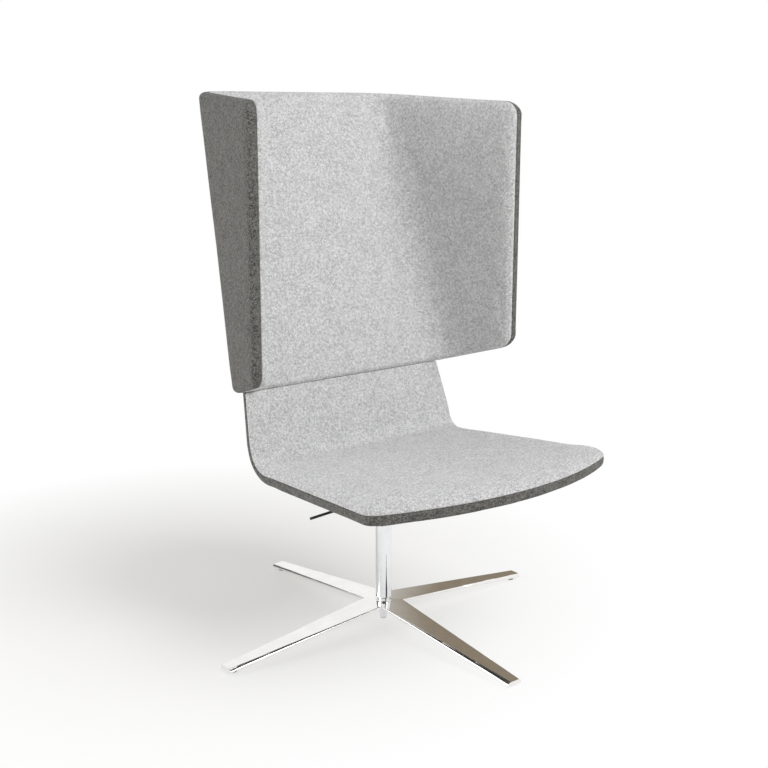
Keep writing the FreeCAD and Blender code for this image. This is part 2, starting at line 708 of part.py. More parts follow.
def cut_all(shape, tools):
    """The shape with all the tools taken out."""
    for tool in tools:
        shape = shape.cut(tool)
    return single(shape)


def shell_board():
    """Moulded board of seat and back."""
    board = shell_layer(-BOARD_THICKNESS, 0, BOARD_INSET)
    tools = seat_holes(NUT_BARREL_RADIUS, -BOARD_THICKNESS - 1, 1)
    tools += seat_holes(NUT_FLANGE_RADIUS, -NUT_FLANGE, 1)
    tools += panel_holes(BOLT_RADIUS, -1, BOARD_THICKNESS + 1)
    return cut_all(board, tools)


def shell_cover():
    """Dark cover that wraps the board's edge and rear."""
    cover = shell_layer(-COVER_THICKNESS, 0, 0)
    cover = cover.cut(shell_layer(-BOARD_THICKNESS, 1, BOARD_INSET))
    tools = seat_holes(BOLT_RADIUS, -COVER_THICKNESS - 1, 0)
    tools += panel_holes(CAP_RADIUS, BOARD_THICKNESS - 1, COVER_THICKNESS + 1)
    return cut_all(cover, tools)


def seat_pad():
    """Light pad of the seat and the lower back."""
    return single(shell_layer(0, PAD_THICKNESS, PAD_INSET, PANEL_BOTTOM - 1))


# Acoustic panel


def panel_path(height, depth):
    """Points of the panel's surface in a section square to the back.

    The depth is measured from the inner face outwards. The points are the right
    wing's end, the two ends and the middle of its bend.
    """
    inner_y = -BORDER_TO_PANEL
    slope = math.tan(SPLAY) * math.cos(RECLINE)
    stretch = math.sqrt(1 + slope * slope)
    wing_y = KINK_Y + height * math.sin(RECLINE) + inner_y * math.cos(RECLINE)
    corner_x = WING_FRONT_X - (wing_y - WING_FRONT_Y) * math.tan(SPLAY)
    centre_y = inner_y - PANEL_BEND_RADIUS
    centre_x = corner_x + PANEL_BEND_RADIUS * (slope - stretch)
    radius = PANEL_BEND_RADIUS + depth
    outward = Vector(1 / stretch, slope / stretch, 0)
    middle = (outward + Y_AXIS).normalize()
    centre = Vector(centre_x, centre_y, height)
    on_wing = centre + outward * radius
    end_y = (WING_FRONT_Y - 30 - KINK_Y - height * math.sin(RECLINE)) / math.cos(RECLINE)
    reach = on_wing.y - end_y
    end = on_wing + Vector(reach * slope, -reach, 0)
    return end, on_wing, centre + middle * radius, centre + Y_AXIS * radius


def mirrored(point):
    """The point on the other side of the chair."""
    return Vector(-point.x, point.y, point.z)


def panel_section(height, near, far):
    """Closed C-shaped section of the panel between two depths."""
    end_o, wing_o, middle_o, back_o = panel_path(height, far)
    end_i, wing_i, middle_i, back_i = panel_path(height, near)
    return Part.Wire([
        Part.makeLine(end_o, wing_o),
        Part.Arc(wing_o, middle_o, back_o).toShape(),
        Part.makeLine(back_o, mirrored(back_o)),
        Part.Arc(mirrored(back_o), mirrored(middle_o), mirrored(wing_o)).toShape(),
        Part.makeLine(mirrored(wing_o), mirrored(end_o)),
        Part.makeLine(mirrored(end_o), mirrored(end_i)),
        Part.makeLine(mirrored(end_i), mirrored(wing_i)),
        Part.Arc(mirrored(wing_i), mirrored(middle_i), mirrored(back_i)).toShape(),
        Part.makeLine(mirrored(back_i), back_i),
        Part.Arc(back_i, middle_i, wing_i).toShape(),
        Part.makeLine(wing_i, end_i),
        Part.makeLine(end_i, end_o)])


def panel_side(inset):
    """Side view of the panel as a prism through it, inset from its edges."""
    bottom = BACK_FRAME.multVec(Vector(0, 0, PANEL_BOTTOM + inset))
    fall = math.tan(RECLINE)
    front_y = WING_FRONT_Y + inset
    top_y = KINK_Y + (PANEL_TOP_Z - KINK_Z) * math.tan(RECLINE) - BORDER_TO_PANEL / math.cos(RECLINE)
    top_slope = math.tan(math.radians(PANEL_TOP_FALL))

    def on_bottom(y):
        return Vector(-FAR, y, bottom.z + (bottom.y - y) * fall)

    def on_top(y):
        drop = inset / math.cos(math.radians(PANEL_TOP_FALL))
        return Vector(-FAR, y, PANEL_TOP_Z + (y - top_y) * top_slope - drop)
    corners = [on_bottom(front_y), on_top(front_y), on_top(FAR), on_bottom(FAR)]
    outline = Part.makePolygon(corners + [corners[0]])
    prism = Part.Face(outline).extrude(Vector(2 * FAR, 0, 0))
    front_edges = []
    for edge in edges_along(prism, X_AXIS):
        if abs(edge.Vertexes[0].Point.y - front_y) < 1e-3:
            front_edges.append(edge)
    return prism.makeFillet(WING_CORNER_RADIUS - inset, front_edges)


def panel_layer(near, far, inset):
    """One layer of the panel between two depths, its outline inset."""
    top = (PANEL_TOP_Z - KINK_Z) / math.cos(RECLINE) + 80
    sections = [panel_section(height, near, far) for height in (PANEL_BOTTOM - 20, top)]
    blank = placed(Part.makeLoft(sections, True, True), BACK_FRAME)
    return single(blank.common(panel_side(inset)))


def panel_pad():
    """Light pad on the panel's inner face."""
    return panel_layer(0, PANEL_PAD, 0)


def panel_board():
    """Moulded board inside the panel."""
    board = panel_layer(PANEL_PAD, PANEL_PAD + PANEL_BOARD, PANEL_BOARD_INSET)
    near = PANEL_PAD - BORDER_TO_PANEL
    tools = panel_holes(NUT_BARREL_RADIUS, near - 1, near + PANEL_BOARD + 1)
    tools += panel_holes(NUT_FLANGE_RADIUS, near - 1, near + NUT_FLANGE)
    return cut_all(board, tools)


def panel_cover():
    """Dark cover round the panel's board, hollowed where the shell's back passes."""
    cover = panel_layer(PANEL_PAD, PANEL_THICKNESS, 0)
    cover = cover.cut(panel_layer(PANEL_PAD - 1, PANEL_PAD + PANEL_BOARD, PANEL_BOARD_INSET))
    spine = placed(inset_prism(back_outline(), Y_AXIS, -SPINE_CLEARANCE), BACK_FRAME)
    behind = placed(box((-FAR, FAR), (0, 100), (-100, SHELL_HEIGHT + 50)), BACK_FRAME)
    cover = cover.cut(spine.common(behind))
    return cut_all(cover, panel_holes(BOLT_RADIUS, PANEL_PAD - BORDER_TO_PANEL, 1))


# Fasteners


def bolt(length):
    """Button-head bolt, head at the bottom, shank up along +Z from the origin."""
    shank = rod(BOLT_RADIUS, 0, length)
    head = cone(BOLT_HEAD_RADIUS - BOLT_HEAD_CHAMFER, BOLT_HEAD_RADIUS, -BOLT_HEAD_HEIGHT, 0)
    key = rod(SOCKET_KEY_RADIUS, -BOLT_HEAD_HEIGHT, -BOLT_HEAD_HEIGHT + SOCKET_KEY_DEPTH)
    return single(fused([shank, head]).cut(key))


def tee_nut(board):
    """T-nut through a board, flange on top, barrel down along -Z from the origin."""
    barrel = rod(NUT_BARREL_RADIUS, -board, 0)
    flange = rod(NUT_FLANGE_RADIUS, -NUT_FLANGE, 0)
    return single(fused([barrel, flange]).cut(rod(BOLT_RADIUS, -FAR, FAR)))


def seat_bolts():
    """Four bolts from under the bracket up into the seat board."""
    low = -COVER_THICKNESS - BRACKET_PLATE
    pieces = []
    for x, y in seat_bolt_places():
        piece = bolt(-low)
        piece.translate(Vector(x, y, low))
        pieces.append(placed(piece, SEAT_FRAME))
    return group(pieces)


def seat_nuts():
    """Four T-nuts in the seat board."""
    pieces = []
    for x, y in seat_bolt_places():
        piece = tee_nut(BOARD_THICKNESS)
        piece.translate(Vector(x, y, 0))
        pieces.append(placed(piece, SEAT_FRAME))
    return group(pieces)


def panel_bolts():
    """Four bolts from behind the shell's back into the panel's board."""
    pieces = []
    for x, z in panel_bolt_places():
        piece = bolt(PANEL_BOLT_LENGTH)
        piece.rotate(ORIGIN, X_AXIS, 90)
        piece.translate(Vector(x, BOARD_THICKNESS, z))
        pieces.append(placed(piece, BACK_FRAME))
    return group(pieces)


def panel_nuts():
    """Four T-nuts in the panel's board."""
    near = PANEL_PAD - BORDER_TO_PANEL
    pieces = []
    for x, z in panel_bolt_places():
        piece = tee_nut(PANEL_BOARD)
        piece.rotate(ORIGIN, X_AXIS, 90)
        piece.translate(Vector(x, near, z))
        pieces.append(placed(piece, BACK_FRAME))
    return group(pieces)


def bolt_caps():
    """Plastic caps in the cover's holes over the panel bolts."""
    return group(panel_holes(CAP_RADIUS, COVER_THICKNESS - CAP_HEIGHT, COVER_THICKNESS))


# Seat bracket and release lever


def shaft_height():
    """Height of the lever shaft's axis in the seat frame."""
    return -COVER_THICKNESS - SHAFT_DROP


def in_seat_frame(y):
    """Place along the seat frame's Y of a place along the chair, at the lever shaft's height."""
    return (y - KINK_Y - shaft_height() * math.sin(SLOPE)) / math.cos(SLOPE)


def seat_bracket():
    """Pressed plate under the seat with side flanges, shaft lugs and the taper socket."""
    top = -COVER_THICKNESS
    plate = box((-BRACKET_HALF_WIDTH, BRACKET_HALF_WIDTH), (-BRACKET_FRONT, -BRACKET_REAR),
                (top - BRACKET_PLATE, top))
    pieces = [plate]
    for side in (-1, 1):
        edge = sorted((side * BRACKET_HALF_WIDTH, side * (BRACKET_HALF_WIDTH - BRACKET_FLANGE)))
        pieces.append(box(edge, (-BRACKET_FRONT, -BRACKET_REAR), (top - BRACKET_FLANGE_DEPTH, top)))
    for place in (LUG_FRONT, LUG_REAR):
        pieces.append(box((-LEVER_ARM - LUG_RADIUS, -LEVER_ARM + LUG_RADIUS),
                          (-place - LUG_THICKNESS / 2, -place + LUG_THICKNESS / 2),
                          (shaft_height() - LUG_RADIUS, top)))
    body = placed(fused(pieces), SEAT_FRAME)
    socket_top = cover_underside_z(0) - BRACKET_PLATE / 2
    socket_bottom = CYLINDER_TOP_Z - TAPER_LENGTH
    body = fused([body, rod(SOCKET_RADIUS, socket_bottom, socket_top)])
    cavity_top = cover_underside_z(SOCKET_RADIUS) - BRACKET_PLATE - SOCKET_CAVITY_ROOF
    tools = [cone(CYLINDER_RADIUS, TAPER_TOP_RADIUS, socket_bottom, CYLINDER_TOP_Z),
             rod(SOCKET_CAVITY_RADIUS, CYLINDER_TOP_Z, cavity_top),
             box((-FAR, 0), (-SOCKET_WINDOW / 2, SOCKET_WINDOW / 2), (CYLINDER_TOP_Z, cavity_top))]
    lever = in_seat_frame(LEVER_Y)
    slot_start = -LEVER_ARM - LUG_RADIUS - LEVER_SLOT_MARGIN
    tools.append(placed(box((-FAR, slot_start), (lever - LEVER_SLOT / 2, lever + LEVER_SLOT / 2),
                            (top - BRACKET_FLANGE_DEPTH - 1, top - BRACKET_PLATE)), SEAT_FRAME))
    tools += seat_holes(BOLT_RADIUS, top - BRACKET_PLATE - 1, top + 1)
    for place in (LUG_FRONT, LUG_REAR):
        hole = Part.makeCylinder(SHAFT_BUSH_RADIUS, LUG_THICKNESS + 2,
                                 Vector(-LEVER_ARM, -place - LUG_THICKNESS / 2 - 1, shaft_height()),
                                 Y_AXIS)
        tools.append(placed(hole, SEAT_FRAME))
    return cut_all(body, tools)


def shaft_bushes():
    """Plastic bushes of the lever shaft in the bracket's lugs."""
    pieces = []
    for place in (LUG_FRONT, LUG_REAR):
        start = Vector(-LEVER_ARM, -place - LUG_THICKNESS / 2, shaft_height())
        outer = Part.makeCylinder(SHAFT_BUSH_RADIUS, LUG_THICKNESS, start, Y_AXIS)
        inner = Part.makeCylinder(SHAFT_RADIUS + RUNNING_CLEARANCE, LUG_THICKNESS, start, Y_AXIS)
        pieces.append(placed(outer.cut(inner), SEAT_FRAME))
    return group(pieces)


def shaft_span():
    """Ends of the lever shaft along the seat frame's Y."""
    reach = LUG_THICKNESS / 2 + SHAFT_OVERHANG
    return -LUG_FRONT - reach, -LUG_REAR + reach


def shaft_blank(radius):
    """Cylinder on the lever shaft's axis over its whole length."""
    low, high = shaft_span()
    start = Vector(-LEVER_ARM, low, shaft_height())
    return placed(Part.makeCylinder(radius, high - low, start, Y_AXIS), SEAT_FRAME)


def clip_ranges():
    """Places of the two shaft clips along the seat frame's Y, just outside the lugs."""
    front = -LUG_FRONT - LUG_THICKNESS / 2 - STOP_CLEARANCE
    rear = -LUG_REAR + LUG_THICKNESS / 2 + STOP_CLEARANCE
    return (front - CLIP_THICKNESS, front), (rear, rear + CLIP_THICKNESS)


def clip_ring(outer, inner, low, high):
    """Ring on the lever shaft's axis between two places."""
    start = Vector(-LEVER_ARM, low, shaft_height())
    ring_shape = Part.makeCylinder(outer, high - low, start, Y_AXIS)
    ring_shape = ring_shape.cut(Part.makeCylinder(inner, high - low, start, Y_AXIS))
    return placed(ring_shape, SEAT_FRAME)


def seat_half_width(distance):
    """Half the seat's width at a distance from the kink, on its tapered sides."""
    corner = SEAT_DEPTH - SEAT_FRONT_BOW
    share = (distance - TAPER_START) / (corner - TAPER_START)
    return KINK_HALF_WIDTH + (SEAT_FRONT_HALF_WIDTH - KINK_HALF_WIDTH) * share


def lever_line():
    """Centre line of the lever rod: from the shaft out to the side and down to the tip."""
    shaft = SEAT_FRAME.multVec(Vector(-LEVER_ARM, in_seat_frame(LEVER_Y), shaft_height()))
    inner = Vector(-LEVER_ARM + SHAFT_RADIUS + LEVER_ROD_STUB, shaft.y, shaft.z)
    tip_x = -seat_half_width(-in_seat_frame(LEVER_Y)) - LEVER_OVERHANG
    bend = Vector(tip_x + LEVER_TIP_LENGTH, shaft.y, shaft.z + LEVER_RISE)
    tip = Vector(tip_x, shaft.y, bend.z - LEVER_TIP_DROP)
    return inner, Vector(-BRACKET_HALF_WIDTH, shaft.y, shaft.z), bend, tip


def swept_rod(points, radius):
    """Round rod along straight stretches with ball joints at the corners."""
    pieces = []
    for start, end in zip(points, points[1:]):
        pieces.append(Part.makeCylinder(radius, (end - start).Length, start, end - start))
    for corner in points[1:-1]:
        pieces.append(Part.makeSphere(radius, corner))
    return fused(pieces)


def lever_rod():
    """Steel rod of the lever through the cross shaft."""
    return single(swept_rod(lever_line(), LEVER_ROD_RADIUS))


def lever_grip():
    """Black sleeve on the outer end of the lever rod."""
    bend, tip = lever_line()[2:]
    inner = lever_line()[1]
    back = GRIP_LENGTH - (tip - bend).Length
    start = bend + (inner - bend).normalize() * back
    end = tip + (tip - bend).normalize() * GRIP_END
    sleeve = swept_rod([start, bend, end], LEVER_ROD_RADIUS + GRIP_WALL)
    return single(sleeve.cut(lever_rod()))


def lever_shaft():
    """Cross shaft of the lever with a cross hole for the rod and clip grooves."""
    body = shaft_blank(SHAFT_RADIUS).cut(lever_rod())
    for low, high in clip_ranges():
        groove = clip_ring(SHAFT_BUSH_RADIUS, SHAFT_RADIUS - SHAFT_CLIP_GROOVE, low, high)
        body = body.cut(groove)
    return single(body)


def shaft_clips():
    """Retaining clips on the cross shaft."""
    pieces = []
    for low, high in clip_ranges():
        outer = SHAFT_RADIUS + SHAFT_CLIP_LIP
        pieces.append(clip_ring(outer, SHAFT_RADIUS - SHAFT_CLIP_GROOVE, low, high))
    return group(pieces)


def lever_finger():
    """Collar on the cross shaft with a finger whose round nose lies over the button."""
    nose_radius = FINGER_THICKNESS / 2
    centre_y = in_seat_frame(0)
    start = Vector(-LEVER_ARM, centre_y - FINGER_WIDTH / 2, shaft_height())
    collar = Part.makeCylinder(FINGER_COLLAR_RADIUS, FINGER_WIDTH, start, Y_AXIS)
    collar = placed(collar, SEAT_FRAME)
    side = -FINGER_WIDTH / 2
    nose = Part.makeCylinder(nose_radius, FINGER_WIDTH, Vector(0, side, SHAFT_Z), Y_AXIS)
    web = box((-LEVER_ARM, 0), (side, -side), (SHAFT_Z - nose_radius, SHAFT_Z + nose_radius))
    body = fused([collar, web, nose])
    body = body.cut(shaft_blank(SHAFT_RADIUS))
    return single(body.cut(finger_screw()))


def finger_screw():
    """Set screw that locks the finger on the shaft, from below."""
    centre_y = in_seat_frame(0)
    low = shaft_height() - FINGER_COLLAR_RADIUS
    screw = rod(FINGER_SCREW_RADIUS, low, shaft_height() - SHAFT_RADIUS, -LEVER_ARM, centre_y)
    return placed(screw, SEAT_FRAME)


NODES = {
    "base_casting": base_casting,
    "foot_glides": lambda: around_base(glide()),
    "glide_screws": lambda: around_base(glide_screw()),
    "base_nut": base_nut,
    "column_foot": column_foot,
    "column_tube": column_tube,
    "guide_bush": guide_bush,
    "lower_race": lower_race,
    "bearing_balls": bearing_balls,
    "ball_cage": ball_cage,
    "upper_race": upper_race,
    "piston_rod": piston_rod,
    "piston": piston,
    "rod_washer": rod_washer,
    "rod_clip": rod_clip,
    "rest_buffer": rest_buffer,
    "gas_cylinder": gas_cylinder,
    "cylinder_gland": cylinder_gland,
    "rod_seal": rod_seal,
    "valve_body": valve_body,
    "release_button": release_button,
    "seat_bracket": seat_bracket,
    "seat_bolts": seat_bolts,
    "seat_nuts": seat_nuts,
    "shaft_bushes": shaft_bushes,
    "lever_shaft": lever_shaft,
    "shaft_clips": shaft_clips,
    "lever_rod": lever_rod,
    "lever_grip": lever_grip,
    "lever_finger": lever_finger,
    "finger_screw": finger_screw,
    "shell_board": shell_board,
    "shell_cover": shell_cover,
    "seat_pad": seat_pad,
    "panel_board": panel_board,
    "panel_cover": panel_cover,
    "panel_pad": panel_pad,
    "panel_bolts": panel_bolts,
    "panel_nuts": panel_nuts,
    "bolt_caps": bolt_caps,
}

for node_name, make in NODES.items():
    save(node_name, make())
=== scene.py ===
"""Looks of the high back lounge chair with its wrap-around acoustic panel.

Metres, +Z up, the sitter faces -Y. The felt pieces are built here as their own
meshes; the metal and plastic pieces keep their shape and get a finish.
"""
import json
import math

import bmesh
import bpy
import numpy as np
from mathutils import Matrix, Vector
from mathutils.geometry import delaunay_2d_cdt


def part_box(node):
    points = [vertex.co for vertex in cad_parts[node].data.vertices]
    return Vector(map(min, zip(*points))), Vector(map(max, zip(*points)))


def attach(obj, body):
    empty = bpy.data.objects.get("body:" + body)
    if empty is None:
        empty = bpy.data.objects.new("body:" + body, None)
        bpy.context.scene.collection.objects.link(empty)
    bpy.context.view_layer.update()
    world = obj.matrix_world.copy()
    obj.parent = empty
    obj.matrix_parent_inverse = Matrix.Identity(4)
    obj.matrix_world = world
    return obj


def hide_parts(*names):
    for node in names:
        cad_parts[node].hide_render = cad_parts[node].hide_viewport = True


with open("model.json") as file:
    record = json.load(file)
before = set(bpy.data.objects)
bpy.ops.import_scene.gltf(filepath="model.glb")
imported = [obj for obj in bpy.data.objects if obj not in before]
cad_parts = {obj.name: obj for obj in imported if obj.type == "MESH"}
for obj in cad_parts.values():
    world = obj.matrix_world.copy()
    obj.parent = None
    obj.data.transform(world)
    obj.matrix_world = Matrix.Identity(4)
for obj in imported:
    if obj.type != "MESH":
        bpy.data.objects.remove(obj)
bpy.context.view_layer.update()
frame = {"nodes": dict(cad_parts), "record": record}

# Shell of seat and back, as the solids have it
KINK_Y = 0.085
KINK_Z = 0.363
SEAT_SLOPE = math.radians(4.2)
BACK_RECLINE = math.radians(17.2)
BEND_RADIUS = 0.052
SEAT_DEPTH = 0.502
SEAT_FRONT_BOW = 0.078
SEAT_FRONT_HALF_WIDTH = 0.312
KINK_HALF_WIDTH = 0.268
SEAT_CORNER_RADIUS = 0.034
SHELL_HEIGHT = 0.450
SHELL_TOP_HALF_WIDTH = 0.222
SHELL_TOP_RADIUS = 0.080
TAPER_START = 0.060
PAD_THICKNESS = 0.018
BOARD_THICKNESS = 0.010
COVER_THICKNESS = 0.020
BOARD_INSET = 0.008
CAP_RADIUS = 0.012
CAP_HEIGHT = 0.003

# Acoustic panel, as the solids have it
PANEL_BOTTOM = 0.165
PANEL_PROUD = 0.009
PANEL_PAD = 0.015
PANEL_BOARD = 0.010
PANEL_COVER = 0.020
PANEL_BEND_RADIUS = 0.065
PANEL_TOP_Z = 1.117
PANEL_TOP_FALL = math.radians(3.3)
PANEL_TOP_BLEND = 0.100
WING_SPLAY = math.radians(15.3)
WING_FRONT_X = 0.3127
WING_FRONT_Y = -0.042
WING_CORNER_RADIUS = 0.030

# Softness of the felt pieces: rounded edges, seams and swell
PAD_EDGE = 0.015
PAD_FRONT_ROUND = 0.034
PAD_SIDE_SHARE = 0.60
PAD_PRESSURE = 3.0
PAD_SWELL = 0.0025
COVER_EDGE = 0.016
COVER_SEAT_SHARE = 0.30
COVER_ROUND_START = 0.10
COVER_ROUND_STOP = 0.06
COVER_PRESSURE = 2.0
COVER_SWELL = 0.0015
LINING_EDGE = 0.009
LINING_PRESSURE = 3.0
LINING_SWELL = 0.0020
PANEL_EDGE = 0.014
PANEL_FRONT_SHARE = 0.40
PANEL_PRESSURE = 2.5
PANEL_SWELL = 0.0020
CUT_SHARE = 0.02
CUT_GAP = 0.0004
CUT_SEWN = 0.012
SEAM = 0.002
SEAM_ROUND = 0.3
SEAM_HEM = 4 * SEAM
BACKED_MARGIN = 0.020
BOARD_GAP = 0.0002

# Hollow round a cap, from outside to inside: gap to the cap and depth below the felt
CAP_HOLLOW = ((0.0025, 0.0), (0.0006, 0.0015), (0.0003, 0.0045))
CAP_POINTS = 20

# Meshes of the felt pieces
RING_SPACING = 0.007
FACE_SPACING = 0.010
HIDDEN_SPACING = 0.030
ARC_SHARE = 0.8
ARC_STEPS_LEAST = 4
EDGE_STEPS = 7
BOW_CHORDS = 12
BEND_CHORDS = 10
HEIGHT_ROUNDS = 30
LOOP_CLEARANCE = 0.45
TINY = 1e-6
NEARLY_ZERO = 1e-12
MILLIMETRE = 0.001
MESH_SCALE = 1000
MESH_EPSILON = 1e-7

# Cloth simulation of the felt
CLOTH_FRAMES = 20
CLOTH_QUALITY = 4
CLOTH_MASS = 0.35
CLOTH_STIFFNESS = 40
CLOTH_SHEAR = 20
CLOTH_BENDING = 6

# Camera and room
CAMERA_AZIMUTH = math.radians(-39.16)
CAMERA_ELEVATION = math.radians(12.86)
CAMERA_ROLL = math.radians(0.15)
CAMERA_DISTANCE = 2.5206
CAMERA_AIM_Z = 0.5266
CAMERA_LENS = 56.95
CAMERA_SENSOR = 36.0
AMBIENT = 0.46
FLOOR_REACH = 12.0
FLOOR_DROP = 0.0005
# Painted glow on the floor: its least share round the shadow centre, full white beyond the stop distance
FLOOR_GLOW = 0.30
SHADOW_CENTRE = (-0.15, 0.45, 0.0)
SHADOW_START = 0.20
SHADOW_STOP = 0.95
LAMP_AIM = (0.0, 0.0, 0.5)
KEY_PLACE = (0.9, -2.6, 3.2)
KEY_SIZE = 2.2
KEY_POWER = 83
FILL_PLACE = (-2.6, 1.3, 1.3)
FILL_SIZE = 1.8
FILL_POWER = 36
# Glowing cards that only mirrors see: painted reflections on the polished metal
PAINTED_REFLECTION_AIM = (0.0, 0.0, 0.1)
PAINTED_REFLECTION_DISTANCE = 3.0
PAINTED_REFLECTION_CORE = 0.55

# Finishes: ranges that spread a noise over 0 to 1, and the felt's mix of flecks, fibres and clouds
WIDE_NOISE = (0.30, 0.70)
FLECK_NOISE = (0.41, 0.59)
FIBRE_NOISE = (0.40, 0.60)
FLECK_SHARE = 0.50
CLOUD_SHARE = 0.05
TUFT_HEIGHT = 0.8
DARKENING = 0.93
ROUGHNESS_SPAN = 0.08

# Derived sizes of the shell
BEND_TURN = math.pi / 2 + SEAT_SLOPE - BACK_RECLINE
BEND_TANGENT = BEND_RADIUS * math.tan(BEND_TURN / 2)
BEND_LENGTH = BEND_RADIUS * BEND_TURN
RECESS = BOARD_INSET + BOARD_GAP

# Derived sizes of the panel; its section is drawn in axes turned by the back's recline
INNER_Y = -(PAD_THICKNESS + PANEL_PROUD)
PANEL_DEPTH = PANEL_PAD + PANEL_COVER
SLOPE = math.tan(WING_SPLAY) * math.cos(BACK_RECLINE)
STRETCH = math.sqrt(1 + SLOPE * SLOPE)
WING_ANGLE = math.atan(SLOPE)
PANEL_ARC = PANEL_BEND_RADIUS * (math.pi / 2 - WING_ANGLE)
CENTRE_Y = INNER_Y - PANEL_BEND_RADIUS
WING_START_Y = CENTRE_Y + PANEL_BEND_RADIUS * math.sin(WING_ANGLE)
TOP_SLOPE = math.tan(PANEL_TOP_FALL)
TOP_Y = KINK_Y + (PANEL_TOP_Z - KINK_Z) * math.tan(BACK_RECLINE) + INNER_Y / math.cos(BACK_RECLINE)
TOP_SHARE = math.cos(BACK_RECLINE) - TOP_SLOPE * math.sin(BACK_RECLINE)
TOP_LEVEL = (PANEL_TOP_Z - KINK_Z + (KINK_Y - TOP_Y) * TOP_SLOPE) / TOP_SHARE
TOP_RISE = (math.sin(BACK_RECLINE) + TOP_SLOPE * math.cos(BACK_RECLINE)) / TOP_SHARE


# Outlines


def corner(x, y, radius=0.0, after=1.0):
    """A corner of an outline.

    After is the share of an inset that the edge after the corner takes.
    """
    return {"at": np.array([x, y]), "radius": radius, "after": after}


def left_of(direction):
    """The unit vector to the left of a direction."""
    return np.array([-direction[1], direction[0]])


class Outline:
    """A closed outline, anticlockwise, that gives rings of equal count at any inset."""

    def __init__(self, corners, spacing):
        self.corners = corners
        count = len(corners)
        self.directions = []
        for index in range(count):
            step = corners[(index + 1) % count]["at"] - corners[index]["at"]
            self.directions.append(step / np.linalg.norm(step))
        ends = [self.corner_points(index, 0.0) for index in range(count)]
        self.steps = []
        for index in range(count):
            gap = np.linalg.norm(ends[(index + 1) % count][0] - ends[index][-1])
            self.steps.append(max(1, round(gap / spacing)))
        self.edge = self.moved(0.0)
        self.inward = (self.moved(MILLIMETRE) - self.edge) / MILLIMETRE

    def corner_points(self, index, inset):
        """Points of one corner: an arc where it is rounded, else one point."""
        this = self.corners[index]
        before = self.directions[index - 1]
        after = self.directions[index]
        turn = math.atan2(before[0] * after[1] - before[1] * after[0], before @ after)
        if this["radius"] == 0.0:
            normals = np.array([left_of(before), left_of(after)])
            insets = np.array([self.corners[index - 1]["after"], this["after"]]) * inset
            if abs(turn) < TINY:
                return [this["at"] + normals[0] * insets[0]]
            return [this["at"] + np.linalg.solve(normals, insets)]
        radius = this["radius"]
        reach = radius * math.tan(turn / 2)
        centre = this["at"] - before * reach + left_of(before) * radius
        start = math.atan2(-left_of(before)[1], -left_of(before)[0])
        count = max(ARC_STEPS_LEAST, round(radius * turn / (RING_SPACING * ARC_SHARE)))
        points = []
        for step in range(count + 1):
            angle = start + turn * step / count
            points.append(centre + (radius - inset) * np.array([math.cos(angle), math.sin(angle)]))
        return points

    def ring(self, inset, share=1.0):
        """Points of the outline moved inwards, each by its share of the inset."""
        return self.edge + np.reshape(inset * share, (-1, 1)) * self.inward

    def facing(self, axis):
        """How far each point's edge faces along an axis: 1 fully, 0 not at all."""
        return self.inward[:, axis] ** 2 / (self.inward ** 2).sum(1)

    def moved(self, inset):
        """Points of the outline with every edge moved inwards."""
        count = len(self.corners)
        ends = [self.corner_points(index, inset) for index in range(count)]
        points = []
        for index in range(count):
            points += ends[index]
            start = ends[index][-1]
            stop = ends[(index + 1) % count][0]
            for step in range(1, self.steps[index]):
                points.append(start + (stop - start) * step / self.steps[index])
        return np.array(points)


def mirrored_outline(right_side):
    """Outline from its right half, which runs from the bottom to the top."""
    left_side = []
    for index in range(len(right_side) - 1, -1, -1):
        this = right_side[index]
        share = right_side[index - 1]["after"] if index else 1.0
        left_side.append(corner(-this["at"][0], this["at"][1], this["radius"], share))
    return Outline(right_side + left_side, RING_SPACING)


def inside(points, polygon):
    """Which points lie inside a polygon."""
    x, y = points[:, 0][:, None], points[:, 1][:, None]
    ax, ay = polygon[:, 0][None], polygon[:, 1][None]
    bx, by = np.roll(polygon[:, 0], -1)[None], np.roll(polygon[:, 1], -1)[None]
    crosses = (ay > y) != (by > y)
    level = np.where(crosses, by - ay, 1.0)
    reach = ax + (bx - ax) * (y - ay) / level
    return (np.sum(crosses & (x < reach), axis=1) % 2) == 1


def clearance(points, polygon):
    """Distance of points from a polygon's edges."""
    a = polygon[None]
    step = np.roll(polygon, -1, axis=0)[None] - a
    offset = points[:, None] - a
    squared = np.maximum((step * step).sum(2), NEARLY_ZERO)
    share = np.clip((offset * step).sum(2) / squared, 0, 1)
    return np.sqrt(((offset - share[..., None] * step) ** 2).sum(2).min(1))


def fill_loop(loops, spacing):
    """Triangles between loops and grid points; the first loop is the outer one.

    Returns the grid points and triangles that number the loops' points first.
    """
    outer = loops[0]
    low, high = outer.min(0), outer.max(0)
    columns = np.arange(math.floor(low[0] / spacing), high[0] / spacing + 1)
    rows = np.arange(math.floor(low[1] / spacing), high[1] / spacing + 1)
    grid = np.array([[(i + 0.5 * (j % 2)) * spacing, j * spacing] for i in columns for j in rows])
    keep = inside(grid, outer)
    for loop in loops:
        keep &= clearance(grid, loop) > LOOP_CLEARANCE * spacing
    grid = grid[keep]
    points = np.concatenate(loops + [grid])
    edges = []
    start = 0
    for loop in loops:
        count = len(loop)
        edges += [(start + i, start + (i + 1) % count) for i in range(count)]
        start += count
    flat = [Vector(point) * MESH_SCALE for point in points]
    _, _, faces, origins, _, _ = delaunay_2d_cdt(flat, edges, [], 1, MESH_EPSILON, True)
    triangles = [[origins[i][0] for i in face] for face in faces]
    middles = np.array([points[face].mean(0) for face in triangles])
    wanted = inside(middles, outer)
    return grid, [face for face, good in zip(triangles, wanted) if good]


# Surfaces


def ease(share):
    """A share from 0 to 1 with a soft start and end."""
    return share * share * (3 - 2 * share)


